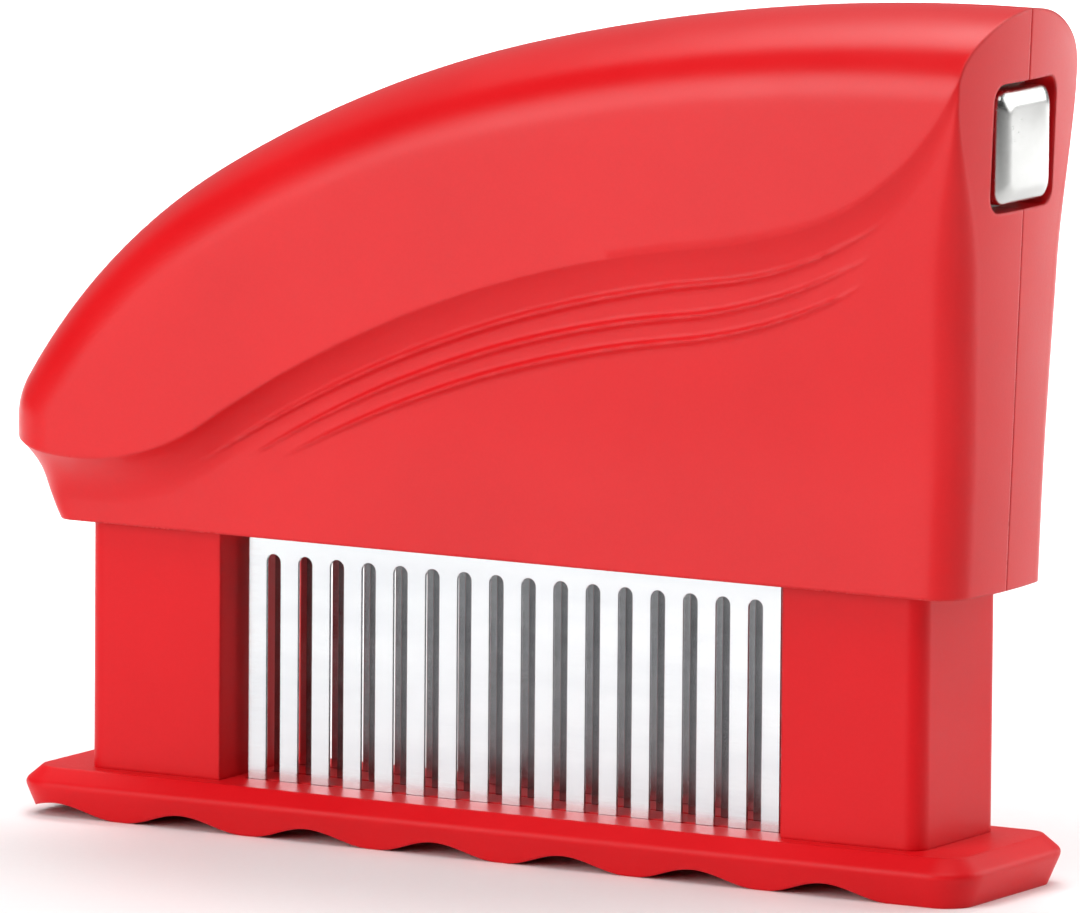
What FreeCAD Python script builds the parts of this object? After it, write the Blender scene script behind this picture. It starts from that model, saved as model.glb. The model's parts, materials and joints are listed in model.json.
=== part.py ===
import FreeCAD, Part
import math
import os
import Sketcher

# Blade meat tenderizer: a two-shell palm grip carries three combs of blades and slides down on two
# hollow columns that stand on a slotted guard plate.  Springs in the columns lift the grip again.
# Frame: +Z up, X along the blade rows, Y across them (the side with -Y is the front), origin on the
# standing plane below the middle of the whole object.  Lengths in millimetres.

doc = FreeCAD.newDocument("blade_tenderizer")
sheet = doc.addObject("Spreadsheet::Sheet", "Sizes")


class Size:
    """A number together with the formula that ties it to the sheet."""

    def __init__(self, value, text):
        self.v = value
        self.t = text

    @staticmethod
    def of(other):
        return other if isinstance(other, Size) else Size(float(other), "(%r)" % float(other))

    def join(self, other, sign, value):
        return Size(value, "(%s %s %s)" % (self.t, sign, other.t))

    def __add__(self, other):
        other = Size.of(other)
        return self.join(other, "+", self.v + other.v)

    def __sub__(self, other):
        other = Size.of(other)
        return self.join(other, "-", self.v - other.v)

    def __mul__(self, other):
        other = Size.of(other)
        return self.join(other, "*", self.v * other.v)

    def __truediv__(self, other):
        other = Size.of(other)
        return self.join(other, "/", self.v / other.v)

    def __neg__(self):
        return Size(-self.v, "(0 - %s)" % self.t)

    def sine(self):
        return Size(math.sin(math.radians(self.v)), "sin(%s)" % self.t)

    def cosine(self):
        return Size(math.cos(math.radians(self.v)), "cos(%s)" % self.t)

    def root(self):
        return Size(math.sqrt(self.v), "sqrt(%s)" % self.t)

    def __radd__(self, other):
        return Size.of(other) + self

    def __rsub__(self, other):
        return Size.of(other) - self

    def __rmul__(self, other):
        return Size.of(other) * self


ZERO = Size.of(0.0)
row = [0]


def size(alias, value, note):
    """One line of the sheet: what it is, its value, and the word it is called by."""
    row[0] += 1
    sheet.set("A%d" % row[0], note)
    sheet.set("B%d" % row[0], repr(value))
    sheet.setAlias("B%d" % row[0], alias)
    return Size(float(value), "Sizes.%s" % alias)


# ---- driving dimensions --------------------------------------------------------------------------
centre_shift = size("centre_shift", 2.25, "blade rows' middle ahead of the whole object's middle")

plate_long = size("plate_long", 160.6, "guard plate, length at the rim")
plate_deep = size("plate_deep", 34.4, "guard plate, depth at the rim")
plate_thick = size("plate_thick", 7.2, "guard plate, foot to land")
rim_height = size("rim_height", 4.9, "guard plate, foot to rim")
plate_corner = size("plate_corner", 6.5, "guard plate, plan corner radius at the rim")
wall_lean = size("wall_lean", 2.1, "guard plate wall, inward lean from rim to foot")
bevel_wide = size("bevel_wide", 2.7, "guard plate, bevel between rim and land")
rim_round = size("rim_round", 0.8, "guard plate, rounding of the rim edge")
lobe_pitch = size("lobe_pitch", 21.6, "scalloped foot, lobe to lobe")
lobe_rise = size("lobe_rise", 2.1, "scalloped foot, height of the hollows")
lobe_flat = size("lobe_flat", 3.0, "scalloped foot, flat that each lobe stands on")
foot_hollows = size("foot_hollows", 7, "scalloped foot, hollows between the lobes")
lobe_shift = size("lobe_shift", 2.7, "scalloped foot, middle lobe ahead of the blade rows' middle")

column_inner = size("column_inner", 47.2, "middle to the inner face of a column")
column_wide = size("column_wide", 22.8, "column, size along the rows")
column_deep = size("column_deep", 23.4, "column, size across the rows")
column_corner = size("column_corner", 2.8, "column, outer corner radius")
column_wall = size("column_wall", 2.0, "column, wall")
column_floor = size("column_floor", 3.0, "column, floor that the spring stands on")
column_reach = size("column_reach", 6.5, "column, length inside the housing at rest")
column_nose = size("column_nose", 5.0, "column, chamfer at its outer top edge")
lip_out = size("lip_out", 1.2, "column stop lip, reach beyond the face")
lip_high = size("lip_high", 1.5, "column stop lip, height")
lip_wide = size("lip_wide", 14.0, "column stop lip, size across the rows")
slide_gap = size("slide_gap", 0.25, "running clearance round a column")

housing_gap = size("housing_gap", 36.9, "guard land to housing underside at rest")

# the housing's own sizes are measured from its underside; slopes in degrees above +X
tip_x = size("tip_x", 85.0, "nose tip, where the crest line starts upright, behind the middle")
tip_z = size("tip_z", 15.1, "nose tip, height")
crest_slope_tip = size("crest_slope_tip", 90.0, "crest line, slope at the nose tip")
crest_slope_nose = size("crest_slope_nose", 58.8, "crest line, slope over the nose")
crest_slope_palm = size("crest_slope_palm", 30.9, "crest line, slope where the palm begins")
crest_slope_top = size("crest_slope_top", 14.2, "crest line, slope where it flattens")
crest_r_nose = size("crest_r_nose", 12.5, "crest line, radius round the nose")
crest_r_low = size("crest_r_low", 92.8, "crest line, radius above the nose")
crest_r_palm = size("crest_r_palm", 189.5, "crest line, radius over the palm")
crest_r_top = size("crest_r_top", 317.8, "crest line, radius over the button end")
fold_tip_x = size("fold_tip_x", 83.7, "fold line, start behind the middle")
fold_tip_z = size("fold_tip_z", 13.2, "fold line, height of its start")
fold_slope_tip = size("fold_slope_tip", -22.9, "fold line, slope at the nose tip")
fold_slope_low = size("fold_slope_low", 34.2, "fold line, slope out of its hollow")
fold_slope_mid = size("fold_slope_mid", 8.1, "fold line, slope after its long swell")
fold_slope_turn = size("fold_slope_turn", 15.6, "fold line, slope before its steep rise")
fold_slope_end = size("fold_slope_end", 68.8, "fold line, slope at the button end")
fold_r_low = size("fold_r_low", 39.4, "fold line, radius of the hollow")
fold_r_mid = size("fold_r_mid", 192.2, "fold line, radius of the long swell")
fold_r_turn = size("fold_r_turn", 127.9, "fold line, radius of the turn")
fold_r_rise = size("fold_r_rise", 42.0, "fold line, radius of the steep rise")

grip_half = size("grip_half", 18.3, "palm grip, half depth")
grip_shoulder = size("grip_shoulder", 9.0, "palm grip, shoulder radius of its oval section")
grip_depth = size("grip_depth", 12.0, "palm grip, crest line to the foot of its shoulders")
crown_sink = size("crown_sink", 0.02, "palm grip, finish left off the crest and the flanks")
panel_half = size("panel_half", 14.6, "side panel, half depth at the underside")
panel_bow = size("panel_bow", 0.4, "side panel, bow in plan")
flare_start = size("flare_start", 20.0, "side panel, height where its flare begins")
flare_mid = size("flare_mid", 48.0, "side panel, second height of the flare")
flare_mid_out = size("flare_mid_out", 2.0, "side panel, flare at the second height")
flare_top_out = size("flare_top_out", 4.4, "side panel, flare at the top")
end_foot_x = size("end_foot_x", 77.3, "button end, middle to its foot")
end_lean = size("end_lean", 0.0368, "button end, outward lean for each millimetre of height")
end_radius = size("end_radius", 90.0, "button end, radius of its bow in plan")
end_corner = size("end_corner", 5.5, "button end, vertical corner radius")
tail_foot_x = size("tail_foot_x", 74.9, "nose end, middle to its foot")
tail_lean = size("tail_lean", 0.62, "nose end, outward lean for each millimetre of height")
tail_corner = size("tail_corner", 3.5, "nose end, corner radius at the foot")
tail_corner_top = size("tail_corner_top", 13.4, "nose end, corner radius where the flare begins")
housing_top = size("housing_top", 86.0, "top of the panel form before it is trimmed by the crest")
cove_high = size("cove_high", 9.0, "cove under the fold, height")
cove_foot = size("cove_foot", 13.9, "cove under the fold, half depth at its foot")
cove_lap = size("cove_lap", 1.0, "cove under the fold, root inside the grip")
ridge_proud = size("ridge_proud", 0.5, "panel ridges, height above the panel")
ridge_half = size("ridge_half", 0.9, "panel ridges, half width where they are widest")

# each ridge bends to the right up to its widest point and then to the left
ridges = []
for ridge_name, numbers in (("upper", (-48.4, 10.6, 215.2, 61.4, 33.1, 8.1, 35.1)),
                            ("middle", (-41.3, 11.4, 191.4, 84.0, 31.6, 8.0, 30.8)),
                            ("lower", (-35.6, 12.0, 202.0, 89.7, 28.5, 8.3, 29.3))):
    words = ("start_x", "start_z", "radius_low", "radius_high", "slope_start", "slope_widest", "slope_end")
    values = [size("%s_ridge_%s" % (ridge_name, word), number,
                   "%s ridge, %s" % (ridge_name, word.replace("_", " ")))
              for word, number in zip(words, numbers)]
    ridges.append(((values[0], values[1]), values[2], values[3], values[4:]))

shell_floor = size("shell_floor", 2.4, "housing, floor thickness")
cavity_half = size("cavity_half", 11.95, "housing cavity, half depth")
roof_wall = size("roof_wall", 5.6, "housing, least thickness over the cavity")
end_wall = size("end_wall", 4.4, "housing, thickness behind the button end")
tail_wall = size("tail_wall", 4.0, "housing, thickness at the nose end")

slot_count = size("slot_count", 16, "slots in one comb")
slot_pitch = size("slot_pitch", 5.4, "slot to slot")
slot_wide = size("slot_wide", 2.44, "slot width")
slot_drop = size("slot_drop", 3.3, "housing underside to slot end")
comb_thick = size("comb_thick", 0.5, "comb plate thickness")
comb_row = size("comb_row", 7.4, "row to row")
comb_top = size("comb_top", 18.0, "comb, height inside the housing")
tip_clear = size("tip_clear", 2.2, "blade tips above the standing plane at rest")
tip_long = size("tip_long", 3.2, "blade point length")
slit_gap = size("slit_gap", 0.25, "guard slit, clearance each side of a comb")

carrier_half = size("carrier_half", 45.2, "comb carrier, half length")
carrier_deep = size("carrier_deep", 20.4, "comb carrier, depth")
carrier_roof = size("carrier_roof", 3.6, "comb carrier, roof over the combs")
carrier_recess = size("carrier_recess", 0.4, "comb carrier, foot above the housing underside")
carrier_gap = size("carrier_gap", 0.2, "comb carrier, clearance in the housing floor")
groove_gap = size("groove_gap", 0.05, "comb carrier, clearance each side of a comb")
seat_gap = size("seat_gap", 0.05, "gap between pieces that seat on one another")
pin_radius = size("pin_radius", 1.5, "comb pin radius")
pin_height = size("pin_height", 11.0, "comb pin above the housing underside")
pin_pitch = size("pin_pitch", 32.4, "comb pin to comb pin")
lug_at = size("lug_at", 39.5, "button-side latch lug, start of its overhang")
lug_tail_at = size("lug_tail_at", 37.0, "tail-side latch lug, start of its overhang behind the middle")
lug_post = size("lug_post", 2.0, "latch lug, post thickness")
lug_over = size("lug_over", 2.0, "latch lug, overhang")
lug_wide = size("lug_wide", 8.0, "latch lug, size across the rows")
lug_room = size("lug_room", 4.75, "latch lug, height under the overhang")
lug_cap = size("lug_cap", 2.0, "latch lug, thickness of the overhang")

rod_at = size("rod_at", 58.6, "middle to a guide rod")
rod_radius = size("rod_radius", 2.0, "guide rod radius")
rod_drop = size("rod_drop", 5.0, "guide rod, length below the housing underside")
rod_head = size("rod_head", 3.2, "guide rod head radius")
rod_head_high = size("rod_head_high", 2.0, "guide rod head height")
shelf_low = size("shelf_low", 33.0, "spring shelf, height of its underside")
shelf_thick = size("shelf_thick", 2.6, "spring shelf, thickness")
shelf_half = size("shelf_half", 7.0, "spring shelf, half length")
cap_radius = size("cap_radius", 6.4, "spring cap radius")
cap_high = size("cap_high", 3.2, "spring cap height")
cap_skirt = size("cap_skirt", 1.0, "spring cap, skirt thickness")
coil_radius = size("coil_radius", 4.6, "column spring, mean coil radius")
coil_wire = size("coil_wire", 0.55, "column spring, wire radius")
coil_turns = size("coil_turns", 11.0, "column spring, turns")

recess_wide = size("recess_wide", 18.6, "button recess, across")
recess_high = size("recess_high", 18.6, "button recess, height")
recess_corner = size("recess_corner", 2.6, "button recess, corner radius")
button_level = size("button_level", 64.4, "button centre above the housing underside")
button_wide = size("button_wide", 15.2, "button, across")
button_high = size("button_high", 16.4, "button, height")
button_corner = size("button_corner", 2.2, "button, corner radius")
button_round = size("button_round", 1.4, "button, rounding of its face edge")
button_face_x = size("button_face_x", 80.2, "middle to the button face")
flange_more = size("flange_more", 1.6, "plunger flange, overlap behind the recess")
flange_thick = size("flange_thick", 1.8, "plunger flange, thickness")
flange_gap = size("flange_gap", 0.3, "plunger flange, gap behind the end wall")
bar_wide = size("bar_wide", 6.0, "plunger bar, across")
bar_high = size("bar_high", 5.0, "plunger bar, height")
arm_long = size("arm_long", 3.0, "plunger arm, size along the rows")
arm_back = size("arm_back", 2.0, "plunger arm, distance behind the overhang")
hook_high = size("hook_high", 2.2, "plunger hook, height")
hook_gap = size("hook_gap", 0.3, "plunger hook, gap under the overhang")
hook_play = size("hook_play", 0.2, "plunger hook, gap to the lug's post")
runner_gap = size("runner_gap", 0.4, "plunger runner, gap over the lugs and round it in the ribs")
runner_high = size("runner_high", 2.4, "plunger runner, height")
guide_at = size("guide_at", 56.0, "plunger guide wall, distance from the middle")
guide_thick = size("guide_thick", 2.4, "plunger guide wall, thickness")
guide_gap = size("guide_gap", 0.08, "plunger guide, running clearance")
seam = size("seam", 0.04, "seam between the two shells")
rib_at = size("rib_at", 24.0, "carrier stop rib, distance from the middle")
rib_thick = size("rib_thick", 2.0, "carrier stop rib, thickness")
small_screw = size("small_screw", 1.0, "button screw shank radius")
small_head = size("small_head", 1.9, "button screw head radius")
small_head_high = size("small_head_high", 1.2, "button screw head height")
small_bite = size("small_bite", 3.6, "button screw, length in the button")
small_y = size("small_y", 5.4, "button screw, distance from the middle across")
small_z = size("small_z", 5.9, "button screw, distance from the button centre in height")
return_radius = size("return_radius", 5.0, "button spring, mean coil radius")
return_wire = size("return_wire", 0.4, "button spring, wire radius")
return_turns = size("return_turns", 5.0, "button spring, turns")

screw_radius = size("screw_radius", 1.4, "screw shank radius")
screw_head = size("screw_head", 2.7, "screw head radius")
screw_head_high = size("screw_head_high", 1.8, "screw head height")
screw_gap = size("screw_gap", 0.15, "clearance round a screw in its through hole")
boss_radius = size("boss_radius", 4.0, "screw boss radius")
shell_screw_bite = size("shell_screw_bite", 7.6, "shell screw, length in the front shell")
shell_screw_seat = size("shell_screw_seat", 9.0, "shell screw, head seat behind the seam")
pilot_more = size("pilot_more", 0.6, "pilot hole, depth past the screw's end")
foot_screw_at = size("foot_screw_at", 7.2, "column screw, distance from the guide rod line")
foot_screw_long = size("foot_screw_long", 6.4, "column screw, length under its head")
foot_screw_sink = size("foot_screw_sink", 4.4, "column screw head, height above the standing plane")
boss_spots = {}
for spot, at_x, at_z in (("tail", -74.5, 12.5), ("palm", -30.0, 44.0), ("middle", 4.0, 42.0),
                         ("top", 24.0, 64.0), ("end", 71.0, 42.0)):
    boss_spots[spot] = (size("boss_%s_x" % spot, at_x, "%s screw boss, along the rows" % spot),
                        size("boss_%s_z" % spot, at_z, "%s screw boss, height" % spot))
doc.recompute()

underside = plate_thick + housing_gap


# ---- drawing helpers -----------------------------------------------------------------------------
def new_body(name):
    """A body that stands at the blade rows' middle."""
    body = doc.addObject("PartDesign::Body", name)
    body.Label = name
    body.setExpression("Placement.Base.x", centre_shift.t)
    return body


def lift(body, height):
    """Raise a body by a named height."""
    body.setExpression("Placement.Base.z", height.t)


def sketch(body, name, plane, offset=None):
    """An empty sketch on one of the body's origin planes, set off along the plane's normal."""
    drawing = body.newObject("Sketcher::SketchObject", name)
    support = [item for item in body.Origin.OriginFeatures if item.Role == plane][0]
    drawing.AttachmentSupport = [(support, "")]
    drawing.MapMode = "FlatFace"
    if offset is not None:
        drawing.setExpression("AttachmentOffset.Base.z", offset.t)
    return drawing


def bind(drawing, constraint, value):
    """Add a dimension and tie it to the sheet."""
    index = drawing.addConstraint(constraint)
    drawing.setExpression("Constraints[%d]" % index, value.t)


def place(drawing, geometry, end, point):
    """Hold one end of a line or arc at a point."""
    for kind, value in (("DistanceX", point[0]), ("DistanceY", point[1])):
        bind(drawing, Sketcher.Constraint(kind, -1, 1, geometry, end, value.v), value)


def arc_between(start, end, radius):
    """The smaller arc from start to end; a positive radius turns left, a negative one right."""
    ax, ay, bx, by = start[0].v, start[1].v, end[0].v, end[1].v
    half = math.hypot(bx - ax, by - ay) / 2
    reach = math.sqrt(max(radius.v ** 2 - half ** 2, 0.0)) * (1 if radius.v > 0 else -1)
    cx = (ax + bx) / 2 - (by - ay) / (2 * half) * reach
    cy = (ay + by) / 2 + (bx - ax) / (2 * half) * reach
    circle = Part.Circle(FreeCAD.Vector(cx, cy, 0), FreeCAD.Vector(0, 0, 1), abs(radius.v))
    first, last = math.atan2(ay - cy, ax - cx), math.atan2(by - cy, bx - cx)
    if radius.v < 0:
        first, last = last, first
    if last < first:
        last += 2 * math.pi
    return Part.ArcOfCircle(circle, first, last)


def outline(drawing, points, radii=None, closed=True):
    """An outline through the points; radii maps a point's number to the arc that leaves it."""
    radii = radii or {}
    count = len(points)
    ends = []
    for i in range(count if closed else count - 1):
        start, end = points[i], points[(i + 1) % count]
        if i in radii:
            geometry = drawing.addGeometry(arc_between(start, end, radii[i]), False)
            size_ = radii[i] if radii[i].v > 0 else -radii[i]
            bind(drawing, Sketcher.Constraint("Radius", geometry, size_.v), size_)
            ends.append((geometry, (1, 2) if radii[i].v > 0 else (2, 1)))
        else:
            line = Part.LineSegment(FreeCAD.Vector(start[0].v, start[1].v, 0),
                                    FreeCAD.Vector(end[0].v, end[1].v, 0))
            ends.append((drawing.addGeometry(line, False), (1, 2)))
    for i in range(len(ends)):
        before, after = ends[i - 1], ends[i]
        if closed or i:
            drawing.addConstraint(Sketcher.Constraint("Coincident", before[0], before[1][1],
                                                      after[0], after[1][0]))
        place(drawing, after[0], after[1][0], points[i])
    if not closed:
        place(drawing, ends[-1][0], ends[-1][1][1], points[-1])


def box_outline(drawing, left, right, low, high):
    outline(drawing, [(left, low), (right, low), (right, high), (left, high)])


def round_box(drawing, left, right, low, high, corner):
    """A rectangle with rounded corners."""
    outline(drawing,
            [(left + corner, low), (right - corner, low), (right, low + corner),
             (right, high - corner), (right - corner, high), (left + corner, high),
             (left, high - corner), (left, low + corner)],
            {1: corner, 3: corner, 5: corner, 7: corner})


def disc(drawing, x, y, radius):
    geometry = drawing.addGeometry(Part.Circle(FreeCAD.Vector(x.v, y.v, 0),
                                               FreeCAD.Vector(0, 0, 1), radius.v), False)
    bind(drawing, Sketcher.Constraint("Radius", geometry, radius.v), radius)
    place(drawing, geometry, 3, (x, y))


def feature(body, kind, name, profile, length=None, reverse=False, both=False):
    """A pad or pocket of a sketch; without a length a pocket goes through everything."""
    item = body.newObject("PartDesign::" + kind, name)
    item.Profile = profile
    if length is None:
        item.Type = "ThroughAll"
    else:
        item.setExpression("Length", length.t)
    item.Reversed = reverse
    if both:
        item.Midplane = True
    return item


def turned(body, name, profile):
    """A solid of revolution about the body's vertical axis."""
    item = body.newObject("PartDesign::Revolution", name)
    item.Profile = profile
    item.ReferenceAxis = ([f for f in body.Origin.OriginFeatures if f.Role == "Z_Axis"][0], [""])
    item.Angle = 360.0
    return item


def origin_item(body, role):
    return [f for f in body.Origin.OriginFeatures if f.Role == role][0]


def move(item, x=None, y=None, z=None):
    """Tie a primitive's or body's place to the sheet."""
    for axis, value in (("x", x), ("y", y), ("z", z)):
        if value is not None:
            item.setExpression("Placement.Base." + axis, value.t)


def combine(kind, name, first, second):
    item = doc.addObject("Part::" + kind, name)
    item.Base, item.Tool = first, second
    return item


def fuse(name, items):
    item = doc.addObject("Part::MultiFuse", name)
    item.Shapes = items
    return item


nodes = []


def finish_piece(item, name):
    item.Label = name
    nodes.append((item, name))


# ---- guard plate ---------------------------------------------------------------------------------
def plate_outline(drawing, inset):
    round_box(drawing, inset - plate_long / 2, plate_long / 2 - inset,
              inset - plate_deep / 2, plate_deep / 2 - inset, plate_corner - inset)


guard = new_body("guard_plate")
foot_plan = sketch(guard, "foot_plan", "XY_Plane")
plate_outline(foot_plan, wall_lean)
rim_plan = sketch(guard, "rim_plan", "XY_Plane", rim_height)
plate_outline(rim_plan, ZERO)
land_plan = sketch(guard, "land_plan", "XY_Plane", plate_thick)
plate_outline(land_plan, bevel_wide)
wall = guard.newObject("PartDesign::AdditiveLoft", "plate_wall")
wall.Profile, wall.Sections, wall.Ruled = foot_plan, [rim_plan], True
doc.recompute()
bevel = guard.newObject("PartDesign::AdditiveLoft", "plate_bevel")
bevel.Profile, bevel.Sections, bevel.Ruled = rim_plan, [land_plan], True
doc.recompute()
rim_edges = ["Edge%d" % (i + 1) for i, edge in enumerate(bevel.Shape.Edges)
             if all(abs(v.Z - rim_height.v) < 1e-6 for v in edge.Vertexes)]
rim_fillet = guard.newObject("PartDesign::Fillet", "rim_fillet")
rim_fillet.Base = (bevel, rim_edges)
rim_fillet.setExpression("Radius", rim_round.t)
doc.recompute()

# the scalloped foot: one hollow between two lobes, repeated along the plate
hollow_x = lobe_shift - lobe_pitch * foot_hollows / 2
hollow_half = (lobe_pitch - lobe_flat) / 2
lobe_radius = (hollow_half * hollow_half + lobe_rise * lobe_rise) / (2 * lobe_rise)
hollow = sketch(guard, "foot_hollow", "XZ_Plane")
outline(hollow, [(hollow_x - hollow_half, ZERO), (hollow_x, lobe_rise), (hollow_x + hollow_half, ZERO),
                 (hollow_x + hollow_half, -lobe_rise), (hollow_x - hollow_half, -lobe_rise)],
        {0: lobe_radius, 1: lobe_radius})
hollow_cut = feature(guard, "Pocket", "foot_hollow_cut", hollow, both=True)
foot = guard.newObject("PartDesign::LinearPattern", "foot_scallops")
foot.Originals = [hollow_cut]
foot.Direction = (origin_item(guard, "X_Axis"), [""])
foot.Mode = "Spacing"
foot.setExpression("Offset", lobe_pitch.t)
foot.setExpression("Occurrences", foot_hollows.t)
guard.Tip = foot
doc.recompute()

comb_half = (slot_count * slot_pitch + slot_pitch - slot_wide) / 2
comb_rows = [("front", -comb_row), ("middle", ZERO), ("rear", comb_row)]
slits = sketch(guard, "blade_slits", "XY_Plane")
for row_name, row_y in comb_rows:
    box_outline(slits, -comb_half - slit_gap * 2, comb_half + slit_gap * 2,
                row_y - comb_thick / 2 - slit_gap, row_y + comb_thick / 2 + slit_gap)
feature(guard, "Pocket", "blade_slit_cut", slits, both=True)
screw_xs = [rod_at - foot_screw_at, rod_at + foot_screw_at]
screw_places = [side * x for side in (-1, 1) for x in screw_xs]
shanks = sketch(guard, "screw_holes", "XY_Plane")
heads = sketch(guard, "screw_heads", "XY_Plane")
for x in screw_places:
    disc(shanks, x, ZERO, screw_radius + screw_gap)
    disc(heads, x, ZERO, screw_head + screw_gap)
feature(guard, "Pocket", "screw_hole_cut", shanks, both=True)
feature(guard, "Pocket", "screw_head_cut", heads, foot_screw_sink + seat_gap, reverse=True)
finish_piece(guard, "guard_plate")


# ---- columns -------------------------------------------------------------------------------------
def mirrored(points, side):
    return [(side * x, y) for x, y in points]


def column(name, side):
    """A hollow column, square towards the blades and rounded outside, with a stop lip and chamfer."""
    body = new_body(name)
    lift(body, plate_thick)
    left, right, half = column_inner, column_inner + column_wide, column_deep / 2
    plan = sketch(body, name + "_plan", "XY_Plane")
    outline(plan, mirrored([(left, -half), (right - column_corner, -half), (right, column_corner - half),
                            (right, half - column_corner), (right - column_corner, half), (left, half)],
                           side), {1: side * column_corner, 3: side * column_corner})
    feature(body, "Pad", name + "_block", plan, housing_gap + column_reach)
    bore = sketch(body, name + "_bore", "XY_Plane", column_floor)
    inside = column_corner - column_wall
    outline(bore, mirrored([(left + column_wall, column_wall - half),
                            (right - column_wall - inside, column_wall - half),
                            (right - column_wall, column_wall - half + inside),
                            (right - column_wall, half - column_wall - inside),
                            (right - column_wall - inside, half - column_wall),
                            (left + column_wall, half - column_wall)], side),
            {1: side * inside, 3: side * inside})
    feature(body, "Pocket", name + "_hollow", bore, housing_gap + column_reach, reverse=True)
    nose = sketch(body, name + "_nose", "XZ_Plane")
    top = housing_gap + column_reach
    outline(nose, mirrored([(right - column_nose, top), (right, top - column_nose),
                            (right + column_nose, top - column_nose),
                            (right + column_nose, top + column_nose),
                            (right - column_nose, top + column_nose)], side))
    feature(body, "Pocket", name + "_chamfer", nose, both=True)
    lip = sketch(body, name + "_lip", "XY_Plane", housing_gap + shell_floor + seat_gap)
    outline(lip, mirrored([(left - lip_out, -lip_wide / 2), (left + column_wall / 2, -lip_wide / 2),
                           (left + column_wall / 2, lip_wide / 2), (left - lip_out, lip_wide / 2)], side))
    feature(body, "Pad", name + "_stop", lip, lip_high)
    holes = sketch(body, name + "_screws", "XY_Plane")
    for x in screw_xs:
        disc(holes, side * x, ZERO, screw_radius + seat_gap)
    feature(body, "Pocket", name + "_screw_holes", holes, column_floor * 1.5, reverse=True)
    finish_piece(body, name)


column("left_column", -1)
column("right_column", 1)


# ---- springs, rods, caps -------------------------------------------------------------------------
def coil(name, x, z, mean, wire, turns, height, axis):
    """A round wire wound on a helix between two flat seats."""
    body = new_body(name)
    body.setExpression("Placement.Base.x", (centre_shift + x).t)
    lift(body, z)
    plane, line = ("XZ_Plane", "Z_Axis") if axis == "Z" else ("XZ_Plane", "X_Axis")
    wire_section = sketch(body, name + "_wire", plane)
    start = wire + seat_gap
    if axis == "Z":
        disc(wire_section, mean, start, wire)
    else:
        disc(wire_section, start, mean, wire)
    winding = body.newObject("PartDesign::AdditiveHelix", name + "_winding")
    winding.Profile = wire_section
    winding.ReferenceAxis = (origin_item(body, line), [""])
    winding.Mode = "height-turns-angle"
    winding.setExpression("Height", (height - 2 * start).t)
    winding.setExpression("Turns", turns.t)
    finish_piece(body, name)


def rod(name, side):
    """A headed steel rod that hangs from the shelf and keeps the spring straight."""
    body = new_body(name)
    body.setExpression("Placement.Base.x", (centre_shift + side * rod_at).t)
    lift(body, underside)
    half = sketch(body, name + "_half", "XZ_Plane")
    shoulder = shelf_low + shelf_thick + seat_gap
    tip = rod_radius / 3
    outline(half, [(ZERO, -rod_drop), (rod_radius - tip, -rod_drop), (rod_radius, tip - rod_drop),
                   (rod_radius, shoulder), (rod_head, shoulder), (rod_head, shoulder + rod_head_high),
                   (ZERO, shoulder + rod_head_high)])
    turned(body, name + "_turned", half)
    finish_piece(body, name)


def cap(name, side):
    """A cup under the shelf that centres the top of the spring round the rod."""
    body = new_body(name)
    body.setExpression("Placement.Base.x", (centre_shift + side * rod_at).t)
    lift(body, underside)
    half = sketch(body, name + "_half", "XZ_Plane")
    high, inner, top = shelf_low - seat_gap, rod_radius + seat_gap, shelf_low - cap_skirt
    outline(half, [(inner, high), (inner, top), (cap_radius - cap_skirt, top),
                   (cap_radius - cap_skirt, shelf_low - cap_high), (cap_radius, shelf_low - cap_high),
                   (cap_radius, high)])
    turned(body, name + "_turned", half)
    finish_piece(body, name)


spring_foot = plate_thick + column_floor
spring_space = underside + shelf_low - cap_skirt - spring_foot
for side_name, side in (("left", -1), ("right", 1)):
    coil(side_name + "_spring", side * rod_at, spring_foot, coil_radius, coil_wire, coil_turns,
         spring_space, "Z")
    rod(side_name + "_guide_rod", side)
    cap(side_name + "_spring_cap", side)


# ---- blade combs ---------------------------------------------------------------------------------
def comb(name, y):
    """A thin steel plate slotted into pointed blades, held by its solid upper edge."""
    body = new_body(name)
    lift(body, underside)
    body.setExpression("Placement.Base.y", y.t)
    low = tip_clear - underside
    face = sketch(body, name + "_face", "XZ_Plane")
    box_outline(face, -comb_half, comb_half, low, comb_top)
    feature(body, "Pad", name + "_plate", face, comb_thick, both=True)
    slot = sketch(body, name + "_slot", "XZ_Plane")
    tine = slot_pitch - slot_wide
    x = -slot_pitch * (slot_count - 1) / 2
    half, top = slot_wide / 2, -slot_drop - slot_wide / 2
    spread = half + tine / 2
    outline(slot, [(x + half, low + tip_long), (x + half, top), (x - half, top), (x - half, low + tip_long),
                   (x - spread, low), (x - spread, low - tip_long), (x + spread, low - tip_long),
                   (x + spread, low)], {1: half})
    cut = feature(body, "Pocket", name + "_slot_cut", slot, both=True)
    row_of_slots = body.newObject("PartDesign::LinearPattern", name + "_slots")
    row_of_slots.Originals = [cut]
    row_of_slots.Direction = (origin_item(body, "X_Axis"), [""])
    row_of_slots.Mode = "Spacing"
    row_of_slots.setExpression("Offset", slot_pitch.t)
    row_of_slots.setExpression("Occurrences", slot_count.t)
    body.Tip = row_of_slots
    doc.recompute()
    holes = sketch(body, name + "_pin_holes", "XZ_Plane")
    for k in (-1, 0, 1):
        disc(holes, k * pin_pitch, pin_height, pin_radius + seat_gap)
    feature(body, "Pocket", name + "_pin_cut", holes, both=True)
    finish_piece(body, name)


for row_name, row_y in comb_rows:
    comb("blade_comb_" + row_name, row_y)

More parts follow.
